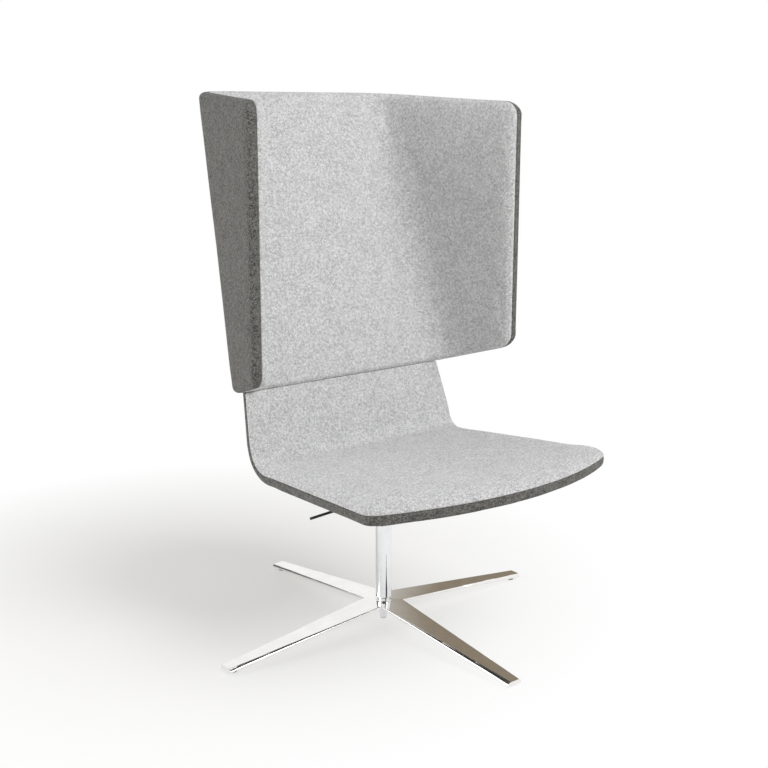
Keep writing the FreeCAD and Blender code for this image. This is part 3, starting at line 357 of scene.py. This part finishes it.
def shell_point(flat, offset):
    """Places on the bent shell from its flat pattern and an offset towards the sitter."""
    x, along = flat[:, 0], flat[:, 1]
    angle = np.clip((along + BEND_TANGENT) / BEND_RADIUS, 0, BEND_TURN)
    before = np.minimum(along + BEND_TANGENT, 0)
    after = np.maximum(along + BEND_TANGENT - BEND_LENGTH, 0)
    centre_y = KINK_Y - BEND_TANGENT * math.cos(SEAT_SLOPE) + BEND_RADIUS * math.sin(SEAT_SLOPE)
    centre_z = KINK_Z + BEND_TANGENT * math.sin(SEAT_SLOPE) + BEND_RADIUS * math.cos(SEAT_SLOPE)
    heading = angle - math.pi / 2 - SEAT_SLOPE
    reach = BEND_RADIUS - offset
    y = centre_y + reach * np.cos(heading)
    z = centre_z + reach * np.sin(heading)
    y = y + before * math.cos(SEAT_SLOPE) + after * math.sin(BACK_RECLINE)
    z = z - before * math.sin(SEAT_SLOPE) + after * math.cos(BACK_RECLINE)
    return np.stack([x, y, z], 1)


def on_seat(distance):
    """Place along the flat pattern of a distance forward of the kink."""
    return -distance


def on_back(height):
    """Place along the flat pattern of a height up the back from the kink."""
    return height + BEND_LENGTH - 2 * BEND_TANGENT


def bend_start(height):
    """Half the width of the panel's flat back at a height up the back."""
    inner = KINK_Y + height * math.sin(BACK_RECLINE) + INNER_Y * math.cos(BACK_RECLINE)
    edge = WING_FRONT_X - (inner - WING_FRONT_Y) * math.tan(WING_SPLAY)
    return edge + PANEL_BEND_RADIUS * (SLOPE - STRETCH)


def wing_length(height):
    """Length of a wing from its bend to its front at a height up the back."""
    front = (WING_FRONT_Y - KINK_Y - height * math.sin(BACK_RECLINE)) / math.cos(BACK_RECLINE)
    return (WING_START_Y - front) * STRETCH


def panel_place(flat, depth):
    """Section coordinates of the panel's right half: across, and to the rear."""
    across, height = np.abs(flat[:, 0]), flat[:, 1]
    start = bend_start(height)
    angle = np.clip((across - start) / PANEL_BEND_RADIUS, 0, math.pi / 2 - WING_ANGLE)
    wing = np.maximum(across - start - PANEL_ARC, 0)
    slide = wing + depth * SLOPE * np.clip(wing / wing_length(height), 0, 1)
    radius = PANEL_BEND_RADIUS + depth
    x = np.minimum(across, start) + radius * np.sin(angle) + slide * SLOPE / STRETCH
    y = CENTRE_Y + radius * np.cos(angle) - slide / STRETCH
    return x, y


def panel_point(flat, depth):
    """Places on the panel from its flat pattern and a depth behind its inner face."""
    height = flat[:, 1]
    x, y = panel_place(flat, depth)
    inner_y = panel_place(flat, 0.0)[1]
    top = TOP_LEVEL + TOP_RISE * inner_y
    share = ease(np.clip((height - top + PANEL_TOP_BLEND) / PANEL_TOP_BLEND, 0, 1))
    lifted = height + share * TOP_RISE * (y - inner_y)
    turned_y = KINK_Y + y * math.cos(BACK_RECLINE) + lifted * math.sin(BACK_RECLINE)
    turned_z = KINK_Z - y * math.sin(BACK_RECLINE) + lifted * math.cos(BACK_RECLINE)
    return np.stack([np.sign(flat[:, 0]) * x, turned_y, turned_z], 1)


def shell_right(top_height, top_radius, top_share):
    """Right half of the shell's outline: half the front bow, the side and the top.

    The top edge takes its share of an inset.
    """
    corner_y = SEAT_DEPTH - SEAT_FRONT_BOW
    half = SEAT_FRONT_HALF_WIDTH
    bow_radius = (half * half + SEAT_FRONT_BOW ** 2) / (2 * SEAT_FRONT_BOW)
    centre = -SEAT_DEPTH + bow_radius
    sweep = math.asin(half / bow_radius)
    points = []
    for step in range(BOW_CHORDS):
        angle = sweep * (step + 0.5) / (BOW_CHORDS + 0.5)
        points.append(corner(bow_radius * math.sin(angle), centre - bow_radius * math.cos(angle)))
    points.append(corner(half, -corner_y, SEAT_CORNER_RADIUS))
    points.append(corner(KINK_HALF_WIDTH, on_seat(TAPER_START)))
    points.append(corner(KINK_HALF_WIDTH, on_back(TAPER_START)))
    share = (top_height - TAPER_START) / (SHELL_HEIGHT - TAPER_START)
    top_x = KINK_HALF_WIDTH + (SHELL_TOP_HALF_WIDTH - KINK_HALF_WIDTH) * share
    points.append(corner(top_x, on_back(top_height), top_radius, top_share))
    return points


def panel_right():
    """Right half of the panel's outline in its flat pattern."""
    front_level = (WING_FRONT_Y - KINK_Y) / math.cos(BACK_RECLINE)
    tip_height = (TOP_LEVEL + TOP_RISE * front_level) / (1 + TOP_RISE * math.tan(BACK_RECLINE))

    def front(height):
        return bend_start(height) + PANEL_ARC + wing_length(height)

    points = [corner(front(PANEL_BOTTOM), PANEL_BOTTOM, WING_CORNER_RADIUS),
              corner(front(tip_height), tip_height, WING_CORNER_RADIUS)]
    for step in range(BEND_CHORDS + 1):
        share = 1 - step / BEND_CHORDS
        height = TOP_LEVEL + TOP_RISE * INNER_Y
        for _ in range(HEIGHT_ROUNDS):
            across = bend_start(height) + PANEL_ARC * share
            flat = np.array([[across, height]])
            height = TOP_LEVEL + TOP_RISE * float(panel_place(flat, 0.0)[1][0])
        points.append(corner(across, height))
    return points


def edge_profile(edge, face, inset):
    """Rounded edge from a wall at depth edge to a face at depth face over an inset."""
    rows = []
    for step in range(EDGE_STEPS + 1):
        angle = math.pi / 2 * step / EDGE_STEPS
        rows.append((inset * (1 - math.cos(angle)), edge + (face - edge) * math.sin(angle)))
    return rows


def build_layer(name, outline, surface, hidden, rounding, steps=(), share=1.0):
    """Closed mesh of one felt layer.

    The rows of hidden and rounding hold inset and depth, from the hidden side round
    the edge to the visible face. Each point of the edge takes its share of the
    rounding's insets. Steps are (loop, depth) pairs inside the visible face.
    """
    flat, depth, faces = [], [], []

    def add(points, depths):
        start = sum(len(part) for part in flat)
        flat.append(points)
        depth.append(np.broadcast_to(depths, (len(points),)).astype(float))
        return start

    rings = [outline.ring(inset) for inset, _ in hidden]
    rings += [outline.ring(inset, share) for inset, _ in rounding]
    profile = hidden + rounding
    count = len(rings[0])
    starts = [add(ring, row[1]) for ring, row in zip(rings, profile)]
    for lower, upper in zip(starts, starts[1:]):
        for index in range(count):
            following = (index + 1) % count
            faces.append([lower + index, lower + following, upper + following, upper + index])
    grid, triangles = fill_loop([rings[0]], HIDDEN_SPACING)
    start = add(grid, profile[0][1])
    for face in triangles:
        faces.append([i if i < count else start + i - count for i in face])
    loops = [rings[-1]] + [loop for loop, _ in steps]
    grid, triangles = fill_loop(loops, FACE_SPACING)
    bases = [starts[-1]] + [add(loop, level) for loop, level in steps]
    level = np.full(len(grid), profile[-1][1])
    for loop, loop_depth in steps:
        level = np.where(inside(grid, loop), loop_depth, level)
    bases.append(add(grid, level))
    sizes = [len(loop) for loop in loops] + [len(grid)]
    lookup = np.concatenate([base + np.arange(size) for base, size in zip(bases, sizes)])
    faces += [[int(lookup[i]) for i in face] for face in triangles]
    flat, depth = np.concatenate(flat), np.concatenate(depth)
    mesh = bpy.data.meshes.new(name)
    mesh.from_pydata(surface(flat, depth).tolist(), [], faces)
    made = bmesh.new()
    made.from_mesh(mesh)
    bmesh.ops.recalc_face_normals(made, faces=made.faces)
    made.to_mesh(mesh)
    made.free()
    piece = bpy.data.objects.new(name, mesh)
    bpy.context.scene.collection.objects.link(piece)
    mesh.polygons.foreach_set("use_smooth", [True] * len(mesh.polygons))
    return piece, flat, depth


# Softening


def soften(piece, pinned, pressure, cap):
    """Blow the felt up by cloth simulation, pinned where it is sewn or backed.

    No point moves further than the cap.
    """
    mesh = piece.data
    before = np.empty(len(mesh.vertices) * 3)
    mesh.vertices.foreach_get("co", before)
    before = before.reshape(-1, 3)
    group = piece.vertex_groups.new(name="sewn")
    group.add([int(i) for i in np.flatnonzero(pinned)], 1.0, "REPLACE")
    cloth = piece.modifiers.new("cloth", "CLOTH")
    cloth.settings.quality = CLOTH_QUALITY
    cloth.settings.mass = CLOTH_MASS
    cloth.settings.tension_stiffness = CLOTH_STIFFNESS
    cloth.settings.compression_stiffness = CLOTH_STIFFNESS
    cloth.settings.shear_stiffness = CLOTH_SHEAR
    cloth.settings.bending_stiffness = CLOTH_BENDING
    cloth.settings.use_pressure = True
    cloth.settings.uniform_pressure_force = pressure
    cloth.settings.vertex_group_mass = group.name
    cloth.settings.effector_weights.gravity = 0
    cloth.collision_settings.use_collision = False
    cloth.point_cache.frame_start = 1
    cloth.point_cache.frame_end = CLOTH_FRAMES
    for number in range(CLOTH_FRAMES):
        bpy.context.scene.frame_set(number + 1)
    shown = piece.evaluated_get(bpy.context.evaluated_depsgraph_get())
    after = np.empty(len(before) * 3)
    shown.data.vertices.foreach_get("co", after)
    moved = after.reshape(-1, 3) - before
    length = np.linalg.norm(moved, axis=1, keepdims=True)
    moved *= np.minimum(1.0, cap / np.maximum(length, NEARLY_ZERO))
    print(piece.name, "cloth moved up to", round(float(length.max()), 4), "m")
    piece.modifiers.remove(cloth)
    piece.vertex_groups.remove(group)
    bpy.context.scene.frame_set(1)
    mesh.vertices.foreach_set("co", (before + moved).ravel())
    mesh.update()


def finish_felt(piece, body, slot_name, node):
    """Give a felt piece its finish and smoothing, hang it on its body and hide the solid it stands for.
    """
    piece.data.materials.append(MATERIALS[slot_name])
    smooth = piece.modifiers.new("smooth", "SUBSURF")
    smooth.levels = 1
    smooth.render_levels = 1
    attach(piece, body)
    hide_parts(node)


# Materials


def new_material(name):
    """A node material, with its nodes, its links and its shader."""
    material = bpy.data.materials.new(name)
    material.use_nodes = True
    nodes = material.node_tree.nodes
    return material, nodes, material.node_tree.links, nodes["Principled BSDF"]


def noise_node(nodes, links, scale, detail=2.0, distortion=0.0, stretch=None):
    """Noise in object coordinates, by features per metre."""
    coordinates = nodes.get("coordinates") or nodes.new("ShaderNodeTexCoord")
    coordinates.name = "coordinates"
    texture = nodes.new("ShaderNodeTexNoise")
    texture.inputs["Scale"].default_value = scale
    texture.inputs["Detail"].default_value = detail
    texture.inputs["Distortion"].default_value = distortion
    source = coordinates.outputs["Object"]
    if stretch:
        mapping = nodes.new("ShaderNodeMapping")
        mapping.inputs["Scale"].default_value = stretch
        links.new(source, mapping.inputs["Vector"])
        source = mapping.outputs["Vector"]
    links.new(source, texture.inputs["Vector"])
    return texture.outputs["Fac"]


def spread(nodes, links, value, source=(0.0, 1.0), target=(0.0, 1.0)):
    """The value mapped from a source range to a target range, clamped."""
    node = nodes.new("ShaderNodeMapRange")
    node.inputs["From Min"].default_value = source[0]
    node.inputs["From Max"].default_value = source[1]
    node.inputs["To Min"].default_value = target[0]
    node.inputs["To Max"].default_value = target[1]
    links.new(value, node.inputs["Value"])
    return node.outputs["Result"]


def combine(nodes, links, operation, first, second):
    """Two values joined by one operation; either may be a number."""
    node = nodes.new("ShaderNodeMath")
    node.operation = operation
    for slot_index, value in enumerate((first, second)):
        if isinstance(value, (int, float)):
            node.inputs[slot_index].default_value = value
        else:
            links.new(value, node.inputs[slot_index])
    return node.outputs["Value"]


def blend_colours(nodes, links, share, first, second):
    """A colour between two, by a share."""
    node = nodes.new("ShaderNodeMix")
    node.data_type = "RGBA"
    links.new(share, node.inputs["Factor"])
    for name, colour in (("A", first), ("B", second)):
        socket = [s for s in node.inputs if s.name == name and s.type == "RGBA"][0]
        if isinstance(colour, tuple):
            socket.default_value = (*colour, 1.0)
        else:
            links.new(colour, socket)
    return [s for s in node.outputs if s.type == "RGBA"][0]


def set_roughness(nodes, links, shader, value, low, high):
    """Roughness between a low and a high value, by a share."""
    rough = spread(nodes, links, value, target=(low, high))
    links.new(rough, shader.inputs["Roughness"])


def add_bump(nodes, links, shader, height, strength, distance):
    """Bump on the shader's normal."""
    bump = nodes.new("ShaderNodeBump")
    bump.inputs["Strength"].default_value = strength
    bump.inputs["Distance"].default_value = distance
    links.new(height, bump.inputs["Height"])
    links.new(bump.outputs["Normal"], shader.inputs["Normal"])


def felt(name, dark, light, sheen):
    """Melange wool felt: dark and light fibres matted together, with a soft nap."""
    material, nodes, links, shader = new_material(name)
    flecks = noise_node(nodes, links, scale=260, detail=3.0, distortion=1.2)
    fibres = noise_node(nodes, links, scale=640, detail=2.0, distortion=1.6)
    clouds = noise_node(nodes, links, scale=30)
    flecks = spread(nodes, links, flecks, FLECK_NOISE)
    fibres = spread(nodes, links, fibres, FIBRE_NOISE)
    clouds = spread(nodes, links, clouds, WIDE_NOISE, (-CLOUD_SHARE, CLOUD_SHARE))
    share = combine(nodes, links, "MULTIPLY", flecks, FLECK_SHARE)
    rest = combine(nodes, links, "MULTIPLY", fibres, 1 - FLECK_SHARE)
    share = combine(nodes, links, "ADD", share, rest)
    share = combine(nodes, links, "ADD", share, clouds)
    colour = blend_colours(nodes, links, share, dark, light)
    links.new(colour, shader.inputs["Base Color"])
    tufts = combine(nodes, links, "MULTIPLY", flecks, TUFT_HEIGHT)
    nap = combine(nodes, links, "ADD", fibres, tufts)
    add_bump(nodes, links, shader, nap, strength=0.35, distance=0.0006)
    set_roughness(nodes, links, shader, fibres, 0.84, 0.97)
    shader.inputs["Sheen Weight"].default_value = sheen
    shader.inputs["Sheen Roughness"].default_value = 0.55
    shader.inputs["Specular IOR Level"].default_value = 0.25
    return material


def metal(name, colour, rough_low, rough_high, grain, stretch=None, ripple=0.0):
    """Metal with uneven polish; grain is the scale of its marks."""
    material, nodes, links, shader = new_material(name)
    marks = noise_node(nodes, links, grain, detail=4.0, distortion=0.3, stretch=stretch)
    marks = spread(nodes, links, marks, WIDE_NOISE)
    set_roughness(nodes, links, shader, marks, rough_low, rough_high)
    tone = spread(nodes, links, noise_node(nodes, links, scale=35), WIDE_NOISE)
    darker = tuple(DARKENING * part for part in colour)
    links.new(blend_colours(nodes, links, tone, darker, colour), shader.inputs["Base Color"])
    shader.inputs["Metallic"].default_value = 1.0
    if ripple:
        add_bump(nodes, links, shader, marks, strength=0.4, distance=ripple)
    return material


def moulded(name, dark, light, roughness, grain):
    """Moulded plastic, rubber or powder coat with a fine grain."""
    material, nodes, links, shader = new_material(name)
    skin = noise_node(nodes, links, grain, detail=3.0, distortion=0.4)
    skin = spread(nodes, links, skin, WIDE_NOISE)
    links.new(blend_colours(nodes, links, skin, dark, light), shader.inputs["Base Color"])
    set_roughness(nodes, links, shader, skin, roughness - ROUGHNESS_SPAN, roughness + ROUGHNESS_SPAN)
    add_bump(nodes, links, shader, skin, strength=0.3, distance=0.0002)
    return material


def plywood(name):
    """Moulded veneer with grain along the sheet."""
    material, nodes, links, shader = new_material(name)
    grain = noise_node(nodes, links, scale=60, detail=5.0, distortion=1.2, stretch=(4.0, 1.0, 1.0))
    grain = spread(nodes, links, grain, WIDE_NOISE)
    colour = blend_colours(nodes, links, grain, (0.36, 0.22, 0.11), (0.55, 0.38, 0.22))
    links.new(colour, shader.inputs["Base Color"])
    set_roughness(nodes, links, shader, grain, 0.5, 0.7)
    add_bump(nodes, links, shader, grain, strength=0.2, distance=0.0003)
    return material


# Felt: dark and light colour, sheen
FELTS = {
    "light_felt": ((0.33, 0.33, 0.335), (0.90, 0.90, 0.905), 0.08),
    "dark_felt": ((0.008, 0.008, 0.007), (0.262, 0.256, 0.240), 0.08),
}

# Metal: colour, lowest and highest roughness, marks per metre, their stretch and ripple
METALS = {
    "polished_aluminium": ((0.91, 0.90, 0.88), 0.05, 0.12, 160),
    "chromed_steel": ((0.86, 0.87, 0.88), 0.03, 0.08, 120),
    "zinc_steel": ((0.66, 0.66, 0.68), 0.28, 0.42, 300, None, 0.0001),
    "bearing_steel": ((0.72, 0.72, 0.74), 0.10, 0.20, 400, (1, 1, 8)),
    "brass_cage": ((0.74, 0.56, 0.26), 0.18, 0.30, 300),
}

# Moulded or coated: dark and light colour, mean roughness, grains per metre
COATED = {
    "black_steel": ((0.012, 0.012, 0.012), (0.030, 0.030, 0.030), 0.45, 1400),
    "black_plastic": ((0.015, 0.015, 0.015), (0.034, 0.034, 0.034), 0.50, 1800),
    "glide_plastic": ((0.16, 0.16, 0.16), (0.24, 0.24, 0.24), 0.55, 1500),
    "black_rubber": ((0.012, 0.012, 0.012), (0.028, 0.028, 0.028), 0.70, 900),
}

MATERIALS = {"moulded_board": plywood("moulded_board")}
MATERIALS.update({name: felt(name, *values) for name, values in FELTS.items()})
MATERIALS.update({name: metal(name, *values) for name, values in METALS.items()})
MATERIALS.update({name: moulded(name, *values) for name, values in COATED.items()})


def dress_solids():
    """Give every carried-over node the finish of its material slot."""
    slots = {row["node"]: row["material_slot"] for row in frame["record"]["subparts"]}
    for name, node in frame["nodes"].items():
        node.data.materials.clear()
        node.data.materials.append(MATERIALS[slots[name]])


# Felt pieces


def seam_rows(start, sign):
    """Small rounding from a layer's hidden side into its wall; the sign says which way."""
    return [(SEAM, start),
            (SEAM_ROUND * SEAM, start + sign * SEAM_ROUND * SEAM),
            (0.0, start + sign * SEAM)]


def make_seat_pad():
    """Light pad of the seat and the lower back, up to the panel."""
    cut = PANEL_BOTTOM - CUT_GAP
    outline = mirrored_outline(shell_right(cut, 0.0, CUT_SHARE))
    hidden = [(SEAM_HEM, 0.0)] + seam_rows(0.0, 1)
    rounding = edge_profile(PAD_THICKNESS - PAD_EDGE, PAD_THICKNESS, PAD_FRONT_ROUND)
    frontal = np.where(outline.edge[:, 1] < on_seat(TAPER_START), outline.facing(1), 0.0)
    share = PAD_SIDE_SHARE + (1 - PAD_SIDE_SHARE) * frontal
    piece, flat, depth = build_layer("seat_cushion", outline, shell_point, hidden, rounding, share=share)
    sewn = depth < PAD_THICKNESS - PAD_EDGE + TINY
    sewn |= flat[:, 1] > on_back(cut) - CUT_SEWN
    soften(piece, sewn, PAD_PRESSURE, PAD_SWELL)
    finish_felt(piece, "seat", "light_felt", "seat_pad")


def disc_loop(x, y, radius):
    """Circle of points in the flat pattern."""
    angles = [2 * math.pi * index / CAP_POINTS for index in range(CAP_POINTS)]
    return np.array([[x + radius * math.cos(a), y + radius * math.sin(a)] for a in angles])


def cap_places():
    """Each panel bolt's cap, from its solid: how far across and how far up the back."""
    low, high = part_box("bolt_caps")
    reach = CAP_RADIUS * math.cos(BACK_RECLINE)
    places = []
    for z in (low.z + reach, high.z - reach):
        height = (z - KINK_Z) / math.cos(BACK_RECLINE)
        for side in (-1, 1):
            places.append((side * (high.x - CAP_RADIUS), height))
    return places


def make_shell_cover():
    """Dark cover of the shell, with the board's recess and a hollow round each cap.

    It is sewn or backed at its seam, over the bracket and round the caps.
    """
    outline = mirrored_outline(shell_right(SHELL_HEIGHT, SHELL_TOP_RADIUS, 1.0))
    hidden = [(RECESS, -BOARD_THICKNESS - BOARD_GAP), (RECESS, 0.0)] + seam_rows(0.0, -1)
    rounding = edge_profile(-COVER_THICKNESS + COVER_EDGE, -COVER_THICKNESS, COVER_EDGE)
    start, stop = on_seat(COVER_ROUND_START), on_back(COVER_ROUND_STOP)
    climb = ease(np.clip((outline.edge[:, 1] - start) / (stop - start), 0, 1))
    share = COVER_SEAT_SHARE + (1 - COVER_SEAT_SHARE) * climb
    steps = []
    lift = (COVER_THICKNESS - CAP_HEIGHT / 2) * math.tan(BACK_RECLINE)
    for x, height in cap_places():
        for gap, below in CAP_HOLLOW:
            loop = disc_loop(x, on_back(height + lift), CAP_RADIUS + gap)
            steps.append((loop, -COVER_THICKNESS + below))
    piece, flat, depth = build_layer("shell_felt", outline, shell_point, hidden, rounding, steps, share)
    low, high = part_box("seat_bracket")
    places = shell_point(flat, depth)
    backed = np.abs(places[:, 0]) < high.x + BACKED_MARGIN
    backed &= places[:, 1] > low.y - BACKED_MARGIN
    backed &= places[:, 1] < high.y + BACKED_MARGIN
    backed &= flat[:, 1] < 0
    for x, height in cap_places():
        distance = np.hypot(flat[:, 0] - x, flat[:, 1] - on_back(height))
        backed |= distance < CAP_RADIUS + BACKED_MARGIN
    sewn = depth > -SEAM - TINY
    soften(piece, sewn | backed, COVER_PRESSURE, COVER_SWELL)
    finish_felt(piece, "seat", "dark_felt", "shell_cover")


def make_panel_lining():
    """Light pad on the inner face of the panel."""
    outline = mirrored_outline(panel_right())
    hidden = [(SEAM_HEM, PANEL_PAD)] + seam_rows(PANEL_PAD, -1)
    rounding = edge_profile(LINING_EDGE, 0.0, LINING_EDGE)
    piece, _, depth = build_layer("panel_lining", outline, panel_point, hidden, rounding)
    soften(piece, depth > LINING_EDGE - TINY, LINING_PRESSURE, LINING_SWELL)
    finish_felt(piece, "seat", "light_felt", "panel_pad")


def make_panel_cover():
    """Dark cover of the panel, with its board's recess; the shell's back stands behind it."""
    outline = mirrored_outline(panel_right())
    hidden = [(RECESS, PANEL_PAD + PANEL_BOARD + BOARD_GAP), (RECESS, PANEL_PAD)]
    hidden += seam_rows(PANEL_PAD, 1)
    rounding = edge_profile(PANEL_DEPTH - PANEL_EDGE, PANEL_DEPTH, PANEL_EDGE)
    share = 1 + (PANEL_FRONT_SHARE - 1) * outline.facing(0)
    piece, flat, depth = build_layer("panel_felt", outline, panel_point, hidden, rounding, share=share)
    sewn = depth < PANEL_PAD + SEAM + TINY
    backed = np.abs(flat[:, 0]) < KINK_HALF_WIDTH
    backed &= flat[:, 1] < SHELL_HEIGHT + BACKED_MARGIN
    backed &= depth > PANEL_PAD + PANEL_BOARD
    soften(piece, sewn | backed, PANEL_PRESSURE, PANEL_SWELL)
    finish_felt(piece, "seat", "dark_felt", "panel_cover")


# Camera, floor, light and painted reflections


def make_camera():
    """Camera at the picture's viewpoint."""
    camera = bpy.data.objects.new("camera", bpy.data.cameras.new("camera"))
    bpy.context.scene.collection.objects.link(camera)
    a, e = CAMERA_AZIMUTH, CAMERA_ELEVATION
    back = Vector((math.sin(a) * math.cos(e), -math.cos(a) * math.cos(e), math.sin(e)))
    right = Vector((math.cos(a), math.sin(a), 0))
    up = back.cross(right)
    turned_right = right * math.cos(CAMERA_ROLL) + up * math.sin(CAMERA_ROLL)
    turned_up = up * math.cos(CAMERA_ROLL) - right * math.sin(CAMERA_ROLL)
    rotation = Matrix((turned_right, turned_up, back)).transposed().to_4x4()
    place = Vector((0, 0, CAMERA_AIM_Z)) + back * CAMERA_DISTANCE
    camera.matrix_world = Matrix.Translation(place) @ rotation
    camera.data.lens = CAMERA_LENS
    camera.data.sensor_width = CAMERA_SENSOR
    camera.data.clip_start = 0.05
    camera.data.clip_end = 100.0
    bpy.context.scene.camera = camera


def white_to_eye(nodes, links):
    """1 for rays from the camera, mirrors and glass, else 0."""
    path = nodes.new("ShaderNodeLightPath")
    seen = combine(nodes, links, "MAXIMUM", path.outputs["Is Camera Ray"], path.outputs["Is Glossy Ray"])
    return combine(nodes, links, "MAXIMUM", seen, path.outputs["Is Transmission Ray"])


def make_world():
    """Even studio light that the camera and mirrors see as white."""
    world = bpy.data.worlds.new("world")
    bpy.context.scene.world = world
    world.use_nodes = True
    nodes, links = world.node_tree.nodes, world.node_tree.links
    background = nodes["Background"]
    seen = white_to_eye(nodes, links)
    strength = spread(nodes, links, seen, target=(AMBIENT, 1.0))
    links.new(strength, background.inputs["Strength"])
    background.inputs["Color"].default_value = (1.0, 1.0, 1.0, 1.0)


def rectangle(name, across, along):
    """Flat rectangle about its own middle, by half its sides."""
    mesh = bpy.data.meshes.new(name)
    corners = [(-across, -along, 0), (across, -along, 0), (across, along, 0), (-across, along, 0)]
    mesh.from_pydata(corners, [], [(0, 1, 2, 3)])
    made = bpy.data.objects.new(name, mesh)
    bpy.context.scene.collection.objects.link(made)
    return made


def point_at(thing, place, aim):
    """Put a lamp or a card at a place and turn it to face another."""
    thing.location = place
    thing.rotation_mode = "QUATERNION"
    thing.rotation_quaternion = (Vector(place) - Vector(aim)).to_track_quat("Z", "Y")


def make_floor():
    """Pale floor that fades to white away from the chair, by a painted glow that the camera and mirrors
    see: it lifts the cast shadows and fades them out away from the shadow centre.
    """
    floor = rectangle("floor", FLOOR_REACH, FLOOR_REACH)
    floor.location.z = -FLOOR_DROP
    material, nodes, links, shader = new_material("floor")
    shader.inputs["Roughness"].default_value = 0.45
    shader.inputs["Specular IOR Level"].default_value = 0.08
    tint = noise_node(nodes, links, 6)
    pale = blend_colours(nodes, links, tint, (0.885, 0.870, 0.835), (0.915, 0.900, 0.865))
    links.new(pale, shader.inputs["Base Color"])
    # Painted light: white glow that only the camera and mirrors see, weaker round the shadow centre
    glow = nodes.new("ShaderNodeEmission")
    glow.inputs["Strength"].default_value = 1.0
    coordinates = nodes["coordinates"]
    distance = nodes.new("ShaderNodeVectorMath")
    distance.operation = "DISTANCE"
    distance.inputs[1].default_value = SHADOW_CENTRE
    links.new(coordinates.outputs["Object"], distance.inputs[0])
    fade = (SHADOW_START, SHADOW_STOP)
    far = spread(nodes, links, distance.outputs["Value"], fade, (FLOOR_GLOW, 1.0))
    share = combine(nodes, links, "MULTIPLY", far, white_to_eye(nodes, links))
    blend = nodes.new("ShaderNodeMixShader")
    links.new(share, blend.inputs["Fac"])
    links.new(shader.outputs["BSDF"], blend.inputs[1])
    links.new(glow.outputs["Emission"], blend.inputs[2])
    links.new(blend.outputs["Shader"], nodes["Material Output"].inputs["Surface"])
    floor.data.materials.append(material)


def area_light(name, place, size, power):
    """Soft square lamp that faces the chair."""
    lamp = bpy.data.lights.new(name, "AREA")
    lamp.shape = "RECTANGLE"
    lamp.size = size
    lamp.size_y = size
    lamp.energy = power
    light = bpy.data.objects.new(name, lamp)
    bpy.context.scene.collection.objects.link(light)
    point_at(light, place, LAMP_AIM)


def make_painted_reflection(name, place, size, shade):
    """Soft-edged glowing card that only mirrors see: a painted reflection, dark or brown, on the
    polished metal.
    """
    across, along = size[0] / 2, size[1] / 2
    card = rectangle(name, across, along)
    point_at(card, place, PAINTED_REFLECTION_AIM)
    material, nodes, links, _ = new_material(name)
    coordinates = nodes.new("ShaderNodeTexCoord")
    shape = nodes.new("ShaderNodeVectorMath")
    shape.operation = "MULTIPLY"
    shape.inputs[1].default_value = (1 / across, 1 / along, 0)
    links.new(coordinates.outputs["Object"], shape.inputs[0])
    distance = nodes.new("ShaderNodeVectorMath")
    distance.operation = "LENGTH"
    links.new(shape.outputs["Vector"], distance.inputs[0])
    rim = spread(nodes, links, distance.outputs["Value"], (PAINTED_REFLECTION_CORE, 1.0))
    # Painted reflection: the card glows in its shade, fading to white at its rim
    glow = nodes.new("ShaderNodeEmission")
    links.new(blend_colours(nodes, links, rim, shade, (1.0, 1.0, 1.0)), glow.inputs["Color"])
    links.new(glow.outputs["Emission"], nodes["Material Output"].inputs["Surface"])
    card.data.materials.append(material)
    card.visible_camera = False
    card.visible_diffuse = False
    card.visible_shadow = False
    card.visible_transmission = False


def make_painted_reflections():
    """Painted reflections: glowing cards around the chair that only mirrors see, each by its heading in
    degrees, height, size and shade.
    """
    rows = [("painted_reflection_behind", 34, 1.25, (2.2, 3.2), (0.27, 0.225, 0.17)),
            ("painted_reflection_left", 116, 1.60, (3.4, 4.6), (0.13, 0.13, 0.13)),
            ("painted_reflection_front", 274, 0.80, (1.5, 3.2), (0.05, 0.05, 0.05))]
    for name, heading, height, size, shade in rows:
        turn = math.radians(heading)
        place = (PAINTED_REFLECTION_DISTANCE * math.cos(turn), PAINTED_REFLECTION_DISTANCE * math.sin(turn), height)
        make_painted_reflection(name, place, size, shade)


def make_lights():
    """Large key from the front and above, with a fill from the rear on the -X side."""
    area_light("key", KEY_PLACE, KEY_SIZE, KEY_POWER)
    area_light("fill", FILL_PLACE, FILL_SIZE, FILL_POWER)


make_camera()
make_world()
make_floor()
make_lights()
make_painted_reflections()
dress_solids()
make_seat_pad()
make_shell_cover()
make_panel_lining()
make_panel_cover()

scene = bpy.context.scene
scene.view_settings.view_transform = "Standard"
